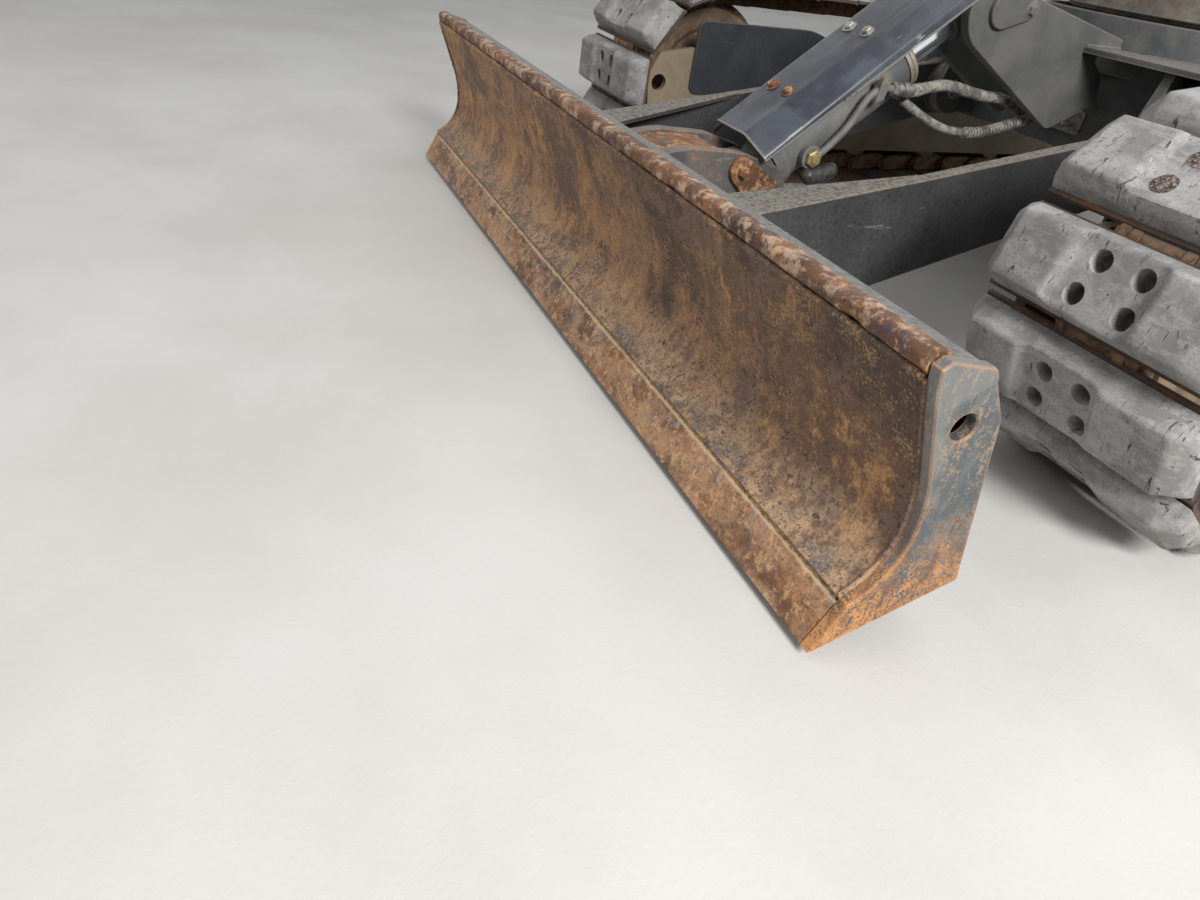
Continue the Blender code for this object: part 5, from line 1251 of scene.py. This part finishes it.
HOSE_ROUTES = {
    "upper": [(0.090, 0.8228, 0.536), (0.090, 0.850, 0.536), (0.090, 0.880, 0.536), (0.086, 0.920, 0.543),
              (0.074, 0.975, 0.548), (0.065, 1.030, 0.544), (0.058, 1.090, 0.534), (0.052, 1.150, 0.526),
              (0.043, 1.210, 0.522), (0.028, 1.275, 0.507), (0.011, 1.335, 0.485), (0.004, 1.385, 0.475),
              (0.004, 1.420, 0.475)],
    "lower": [(0.068, 0.8720, 0.5115), (0.070, 0.890, 0.500), (0.073, 0.924, 0.484), (0.074, 0.975, 0.464),
              (0.069, 1.037, 0.447), (0.064, 1.102, 0.440), (0.058, 1.170, 0.441), (0.052, 1.239, 0.453),
              (0.046, 1.305, 0.468), (0.040, 1.375, 0.475), (0.040, 1.420, 0.475)],
}
HOSE_R = {"upper": 0.0135, "lower": 0.0100}
HOSE_START = {"upper": 0.8690, "lower": 0.8}
HOSE_X = {"upper": 0.004, "lower": 0.040}
CUFF_ROWS = 26
WRAP_ROWS = slice(215, 404)


def braided_form(line, radius, sides=28, strands=7, pitch=0.055):
    """A hose with a woven cover: its radius swells by the product of two sine waves that wind round
    it in opposite senses as the length goes on."""
    length = np.concatenate([[0], np.cumsum(np.linalg.norm(np.diff(line, axis=0), axis=1))])[:, None]
    angle = np.linspace(0, 2 * math.pi, sides, endpoint=False)[None]
    wind = 2 * math.pi * length / pitch
    weave = np.sin(strands * angle + strands * wind) * np.sin(strands * angle - strands * wind)
    return swept_form(line, radius * (0.985 + 0.018 * weave), sides)


def rounded_end(line, radius, steps=8):
    """A ball's half on a line's last point, whose way is the line's there: the radius falls as the
    cosine of an angle while the place goes on as its sine."""
    angle = np.linspace(0, math.pi / 2, steps + 1)
    way = line[-1] - line[-2]
    return turned_form(np.column_stack([radius * np.sin(angle), radius * np.cos(angle)]), line[-1], way, 28)


def wrapped_form(line, radius, pitch=0.011, wire=0.0028):
    """A spiral wrap: a thin round strip wound round a line, as a helix of the given pitch."""
    fine = smooth_route(line, len(line) * 6)
    length = np.concatenate([[0], np.cumsum(np.linalg.norm(np.diff(fine, axis=0), axis=1))])
    way = np.gradient(fine, axis=0)
    way /= np.linalg.norm(way, axis=1, keepdims=True)
    side = np.cross(way, (1.0, 0.0, 0.0))
    side /= np.linalg.norm(side, axis=1, keepdims=True)
    up = np.cross(way, side)
    turn = (2 * math.pi * length / pitch)[:, None]
    return bead_form(fine + radius * (np.cos(turn) * side + np.sin(turn) * up), wire, 90, 6, 0.05, 0.004)


woven = Finish("dusty_woven_hose")
weave_dust = woven.noise(34.0, 6.0, 0.75)
weave = woven.noise(260.0, 3.0, 0.7)
tone = woven.coats((0.120, 0.112, 0.096),
                   ((0.340, 0.325, 0.280), weave_dust.rise(0.42, 0.58)),
                   ((0.055, 0.050, 0.044), weave.rise(0.52, 0.64) * 0.8),
                   ((0.420, 0.410, 0.370), (weave_dust * 0.6 + weave * 0.4).rise(0.56, 0.62) * 0.5))
woven_finish = woven.close(tone, 0.92, 0.0, relief=woven.noise(420.0, 3.0), depth=0.0005)
cuff_ridge = 0.0012 + 0.0005 * (np.arange(CUFF_ROWS)[:, None] % 6 < 3)
for name, route in HOSE_ROUTES.items():
    line = smooth_route(route, 420)
    line = line[line[:, 1] > HOSE_START[name]]
    radius = HOSE_R[name]
    forms = [braided_form(line, radius), rounded_end(line, radius * 0.985),
             swept_form(line[:CUFF_ROWS], radius + cuff_ridge, 24)]
    if name == "lower":
        forms.append(wrapped_form(line[WRAP_ROWS], radius + 0.0012))
    hose = piece(f"hose_cover_{name}", in_place(*forms), woven_finish, None, [f"hose_{name}"],
                 sharp=50)
    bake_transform(hose)

crimp = solid_form([(0.8228, 0.0135), (0.8240, 0.0150), (0.8330, 0.0150), (0.8345, 0.0125), (0.8375, 0.0125),
                    (0.8390, 0.0162), (0.8640, 0.0168), (0.8680, 0.0155), (0.8686, 0.0140)],
                   (LINE_END[0], 0.0, LINE_END[2]), (0, 1, 0), 32)
piece("hose_crimp", in_place(crimp), pin_steel_finish, "barrel")

# Hose fittings: a flange plate on the centre frame's front wall, and on it for each hose a hexagon and
# a turned sleeve. Bare steel.

WALL_Y = 1.5197
FLANGE = 0.010
flange_line = softened([(-0.030, 0.445), (0.072, 0.445), (0.072, 0.505), (-0.030, 0.505)], 0.006, 3)
flat, flat_faces = plate_form(flange_line, WALL_Y - FLANGE, WALL_Y, (), 0.0015)
forms = [(flat[:, [1, 0, 2]], flat_faces)]
for name, gap in (("upper", 0.0145), ("lower", 0.0110)):
    foot = (HOSE_X[name], 0.0, ARM_PIVOT[1])
    front = ARM_PIVOT[0] + gap
    ferrule = [(front, 0.0115), (front + 0.0013, 0.013), (1.452, 0.013), (1.4525, 0.0115), (1.456, 0.0115),
               (1.456, 0.0105), (1.462, 0.0105)]
    hexagon = [(1.462, 0.0125), (1.4635, 0.0145), (1.486, 0.0145), (1.4875, 0.0125)]
    for profile, steps in ((ferrule, 28), (hexagon, 6), ([(1.4875, 0.0105), (1.515, 0.0105)], 24)):
        forms.append(solid_form(profile, foot, (0, 1, 0), steps))
piece("hose_end_fittings", in_place(*forms), pin_steel_finish, "undercarriage", ["hose_fittings"])

# Lift ears: two cut plates, upright on the centre frame, that carry the rod's pin between bosses.
# They are welded to the decks and the drum. Matt grey paint with thin pale edges and a little rust.

EAR_IN = 0.072
EAR_OUT = 0.100
EAR_CLEAR = 0.0003
FLAG_THICK = 0.0120
DECK_TOP = 0.6653
DRUM_FRONT = 1.4978
UPPER_BOLT = (1.132, 0.729)
matt_paint = painted("matt_ear_paint", (0.080, 0.080, 0.079), (0.128, 0.126, 0.121), dust=0.35, rust=0.30,
                     gloss=0.68)
ear_foot = [(1.200, 0.543), (1.352, 0.4625), (1.497, 0.533), (1.476, 0.596), (1.452, 0.617), (1.428, 0.630),
            (1.428, DECK_TOP)]
ear_top = [(DRUM_FRONT, 0.687), (1.168, 0.751), (1.072, 0.795)]
ear_line = np.vstack([arc(UPPER_PIN, 0.075, math.radians(78), math.radians(135), 10),
                      arc(UPPER_PIN, 0.095, math.radians(158), math.radians(242.7), 16),
                      softened(ear_foot, 0.016, 5, closed=False)[1:], [(DRUM_FRONT, DECK_TOP)], ear_top[:1],
                      softened(ear_top, 0.02, 4, closed=False)[1:-1]])
upper_place = (0.0, *UPPER_PIN)
for side, sign in SIDES:
    plate = plate_form(ear_line, *sorted((sign * EAR_IN, sign * EAR_OUT)), (), 0.0020)
    boss = solid_form([(0.0465, 0.051), (0.0485, 0.054), (0.0715, 0.054), (0.0760, 0.0585)], upper_place,
                      (sign, 0, 0), 56)
    piece(f"lift_ear_plate_{side}", in_place(plate, boss), matt_paint, "undercarriage",
          [f"lift_ear_{side}"])
    seam_x = sign * (EAR_OUT + 0.001)
    seam = bead_form(np.array([(seam_x, 1.3715, 0.667), (seam_x, 1.494, 0.667)]), 0.004, 80)
    piece(f"lift_ear_weld_{side}", in_place(seam), matt_paint, "undercarriage")

flag_line = capsule(UPPER_PIN, 0.040, UPPER_BOLT, 0.021)
flag = plate_form(flag_line, EAR_OUT + EAR_CLEAR, EAR_OUT + EAR_CLEAR + FLAG_THICK, (), 0.002)
bolt = bolt_forms((EAR_OUT + EAR_CLEAR + FLAG_THICK, *UPPER_BOLT), (1, 0, 0), 0.013, 0.0085, 0.002)
piece("upper_pin_flag", in_place(flag, *bolt), matt_paint, "undercarriage", ["upper_pin_keeper"])
cap_from = -EAR_OUT - EAR_CLEAR
cap = solid_form([(cap_from, 0.042), (cap_from - 0.008, 0.042), (cap_from - 0.010, 0.040)], upper_place,
                 (1, 0, 0), 48)
piece("upper_pin_cap", in_place(cap), matt_paint, "undercarriage", ["upper_pin_head"])

# Centre frame: a welded box with a drum on top, legs out to both tracks, front decks over the arms'
# brackets and a cover underneath. Thick dark paint, dusty on every ledge.

frame_paint = painted("dusty_frame_paint", (0.040, 0.043, 0.048), (0.095, 0.095, 0.092), dust=0.75, rust=0.45)
dress(frame_paint, "centre_frame", "belly_cover", "front_deck_left", "front_deck_right",
      *[f"frame_leg_{end}_{side}" for end in ("front", "rear") for side, _ in SIDES])

# Slewing ring: two forged races. The inner one has teeth inside and is fixed, and the outer one has
# a circle of bolt holes for what turns on it. Greasy steel with dust.

SLEW_AXIS = (0.0, SLEW_Y)
RACE_R = 0.435
SPLIT_R = 0.435 - 0.505 * 0.105   # where the outer race ends and the gap to the inner one begins
SPLIT = 0.0009
OUTER_FROM, OUTER_TO = 0.747, 0.825
INNER_FROM, INNER_TO = 0.7353, 0.808
HOLE_CIRCLE_R = 0.4119
HOLE_COUNT = 24
GEAR_TEETH = 48
GEAR_ROOT = 0.330
GEAR_TIP = 0.316

race_steel = Finish("greasy_race_steel")
tone = race_steel.coats((0.120, 0.105, 0.090),
                        ((0.230, 0.200, 0.165), race_steel.noise(12.0, 5.0, 0.66).rise(0.38, 0.62)),
                        ((0.270, 0.150, 0.080), race_steel.noise(50.0, 5.0, 0.7).rise(0.54, 0.66) * 0.6),
                        ((0.400, 0.380, 0.350), race_steel.edges(0.004) * 0.7))
race_finish = race_steel.close(tone, 0.42 + race_steel.noise(20.0) * 0.3, 0.55,
                               relief=race_steel.noise(260.0), depth=0.0004)


def lying(form):
    """A plate form laid flat: its thickness runs up, and its outline is drawn in x and y."""
    points, faces = form
    return points[:, [1, 2, 0]], faces


def toothed(centre, teeth, root, tip):
    """Outline of a wheel with teeth, each from root to tip and back between four angles of its step."""
    step = 2 * math.pi / teeth
    angle = (np.arange(teeth)[:, None] * step + np.array([-0.30, -0.13, 0.13, 0.30]) * step).ravel()
    radius = np.tile([root, tip, tip, root], teeth)
    return np.column_stack([centre[0] + radius * np.cos(angle), centre[1] + radius * np.sin(angle)])


hole_angle = 2 * math.pi * np.arange(HOLE_COUNT) / HOLE_COUNT
bolt_holes = [circle((HOLE_CIRCLE_R * math.cos(a), SLEW_Y + HOLE_CIRCLE_R * math.sin(a)), 0.0085, 20)
              for a in hole_angle]
outer = plate_form(circle(SLEW_AXIS, RACE_R, 160), OUTER_FROM, OUTER_TO,
                   [circle(SLEW_AXIS, SPLIT_R, 160), *bolt_holes], 0.0025)
piece("outer_race", [lying(outer)], race_finish, "slew_ring", ["slew_outer_race"])
gear = softened(toothed(SLEW_AXIS, GEAR_TEETH, GEAR_ROOT, GEAR_TIP), 0.004, 2)
inner_race = plate_form(circle(SLEW_AXIS, SPLIT_R - SPLIT, 160), INNER_FROM, INNER_TO, [gear], 0.0015)
piece("inner_race", [lying(inner_race)], race_finish, "undercarriage", ["slew_inner_race"])

# Swivel joint: a cast body in the ring's middle, through which the oil passes, with two rows of ports
# for the lines. It is bolted to the well's floor.

SWIVEL_R = 0.078
SWIVEL_TOP = 0.870
PORTS_PER_ROW = 5


def round_about(centre, radius, count, start=0.0):
    """Angles and points of places spaced evenly on a circle: the point is the centre plus the radius
    times the angle's cosine and sine."""
    turns = [start + number * 2 * math.pi / count for number in range(count)]
    return [(turn, centre[0] + radius * math.cos(turn), centre[1] + radius * math.sin(turn))
            for turn in turns]


swivel_line = [(0.4503, 0.0), (0.4503, 0.120), (0.470, 0.120), (0.470, SWIVEL_R), (0.760, SWIVEL_R),
               (0.760, 0.066), (0.780, 0.066), (0.780, SWIVEL_R), (SWIVEL_TOP, SWIVEL_R), (SWIVEL_TOP, 0.0)]
forms = [turned_form(softened(swivel_line, 0.003, 3, closed=False), (*SLEW_AXIS, 0.0), (0, 0, 1), 64)]
for port_z, start in ((0.545, 0.0), (0.625, 0.6)):
    for turn, _, _ in round_about(SLEW_AXIS, SWIVEL_R, PORTS_PER_ROW, start):
        forms.append(solid_form([(0.070, 0.017), (0.094, 0.017), (0.096, 0.015)], (*SLEW_AXIS, port_z),
                                (math.cos(turn), math.sin(turn), 0.0), 6))
for _, x, y in round_about(SLEW_AXIS, 0.101, 6, 0.3):
    forms += bolt_forms((x, y, 0.470), (0, 0, 1), 0.009, 0.007)
for _, x, y in round_about(SLEW_AXIS, 0.052, 6, 0.3):
    forms += bolt_forms((x, y, 0.8615), (0, 0, 1), 0.007, 0.0060, 0.0015)
piece("swivel_body", forms, pin_steel_finish, "undercarriage", ["swivel_joint"])

# Idlers, sprockets and travel motors: cast wheels in front, and at the rear a toothed ring bolted
# round each motor's gearbox. The castings are dusty brown and the gearboxes painted.

TREAD_R = CHORD_RADIUS - 0.034 - 0.0003
SPROCKET_TEETH = 21
SPROCKET_HALF = 0.024
RING_BORE = 0.135
GEARBOX_FACE = 0.1492
cast = Finish("dusty_cast_steel")
tone = cast.coats((0.145, 0.095, 0.062),
                  ((0.270, 0.205, 0.145), cast.noise(11.0, 6.0, 0.68).rise(0.36, 0.62)),
                  ((0.360, 0.190, 0.090), cast.noise(42.0, 5.0, 0.7).rise(0.53, 0.66) * 0.7),
                  ((0.380, 0.370, 0.350), cast.edges(0.005) * 0.6))
cast_finish = cast.close(tone, 0.74, 0.3, relief=cast.noise(170.0, 5.0, 0.7), depth=0.0010)
wheel_half = [(-0.0897, 0.0), (-0.0897, 0.030), (-0.080, 0.030), (-0.076, 0.075), (-0.062, 0.090),
              (-0.062, 0.150), (-0.076, 0.165), (-0.080, TREAD_R - 0.012), (-0.078, TREAD_R),
              (-0.032, TREAD_R), (-0.024, TREAD_R + 0.026)]
wheel_profile = softened(wheel_half + [(-a, r) for a, r in reversed(wheel_half)], 0.004, 2, closed=False)
for side, sign in SIDES:
    wheel = turned_form(wheel_profile, (sign * TRACK_X, IDLER_Y, AXLE_Z), (1, 0, 0), 80)
    piece(f"idler_wheel_{side}", [wheel], cast_finish, "undercarriage", [f"idler_{side}"])

SPROCKET_AXLE = (SPROCKET_Y, AXLE_Z)
teeth = softened(toothed(SPROCKET_AXLE, SPROCKET_TEETH, PITCH_RADIUS - 0.030, PITCH_RADIUS - 0.002), 0.009, 3)
gearbox_paint = painted("gearbox_paint", (0.042, 0.045, 0.050), (0.100, 0.098, 0.092), dust=0.8, rust=0.5)
motor_profile = np.array([(-0.215, 0.0), (-0.215, 0.100), (-0.112, 0.100), (-0.112, 0.128), (-0.0423, 0.128),
                          (-0.0423, 0.165), (-0.0243, 0.165), (-0.0243, 0.1347), (0.100, 0.125),
                          (0.120, 0.118), (0.150, 0.118), (0.150, 0.0)])
for side, sign in SIDES:
    outwards = (sign, 0, 0)
    forms = [plate_form(teeth, sign * TRACK_X - SPROCKET_HALF, sign * TRACK_X + SPROCKET_HALF,
                        [circle(SPROCKET_AXLE, RING_BORE, 72)], 0.003)]
    for _, y, z in round_about(SPROCKET_AXLE, 0.152, 12):
        forms += bolt_forms((sign * (TRACK_X + SPROCKET_HALF), y, z), outwards, 0.0105, 0.009)
    piece(f"sprocket_ring_{side}", forms, cast_finish, "undercarriage", [f"sprocket_{side}"])
    face_x = sign * (TRACK_X + GEARBOX_FACE)
    forms = [turned_form(softened(motor_profile * (sign, 1), 0.004, 3, closed=False),
                         (sign * TRACK_X, *SPROCKET_AXLE), (1, 0, 0), 72)]
    for _, y, z in round_about(SPROCKET_AXLE, 0.100, 8, 0.2):
        forms += bolt_forms((face_x, y, z), outwards, 0.0085, 0.007, 0.0015)
    for turn in (1.1, 4.2):
        _, y, z = round_about(SPROCKET_AXLE, 0.055, 1, turn)[0]
        forms.append(solid_form([(0.0, 0.014), (0.005, 0.014), (0.006, 0.012)], (face_x, y, z), outwards, 24))
    piece(f"travel_gearbox_{side}", forms, gearbox_paint, "undercarriage", [f"travel_motor_{side}"])

# Track frames: a roofed beam with skirts, five bottom rollers and a carrier roller, a fork for the
# idler and a plate for the motor. Dark paint, tan with dried mud by the ground.

beam_paint = painted("muddy_beam_paint", (0.190, 0.148, 0.098), (0.265, 0.208, 0.138), dust=0.9, rust=0.6,
                     dust_tone=(0.330, 0.262, 0.180))
dress(beam_paint, "track_frame_left", "track_frame_right")

# Idler shields: flat steel plates on the inner side of each track frame, over the idler's fork. Near-
# black paint, its darkness painted shade, with little dust.

SHIELD_IN = 0.7645
SHIELD_OUT = 0.7737
# The near-black tones of this paint are painted shade.
shield_paint = painted("near_black_shield_painted_shade", (0.012, 0.014, 0.019), (0.028, 0.030, 0.036), dust=0.25,
                       rust=0.5)
shield_corners = [(0.757, 0.333), (1.330, 0.333), (1.330, 0.505), (1.180, 0.546), (0.757, 0.546)]
shield_line = softened(shield_corners, 0.030, 6)
for side, sign in SIDES:
    shield = plate_form(shield_line, *sorted((sign * SHIELD_IN, sign * SHIELD_OUT)), (), 0.002)
    piece(f"idler_shield_{side}", in_place(shield), shield_paint, "undercarriage")
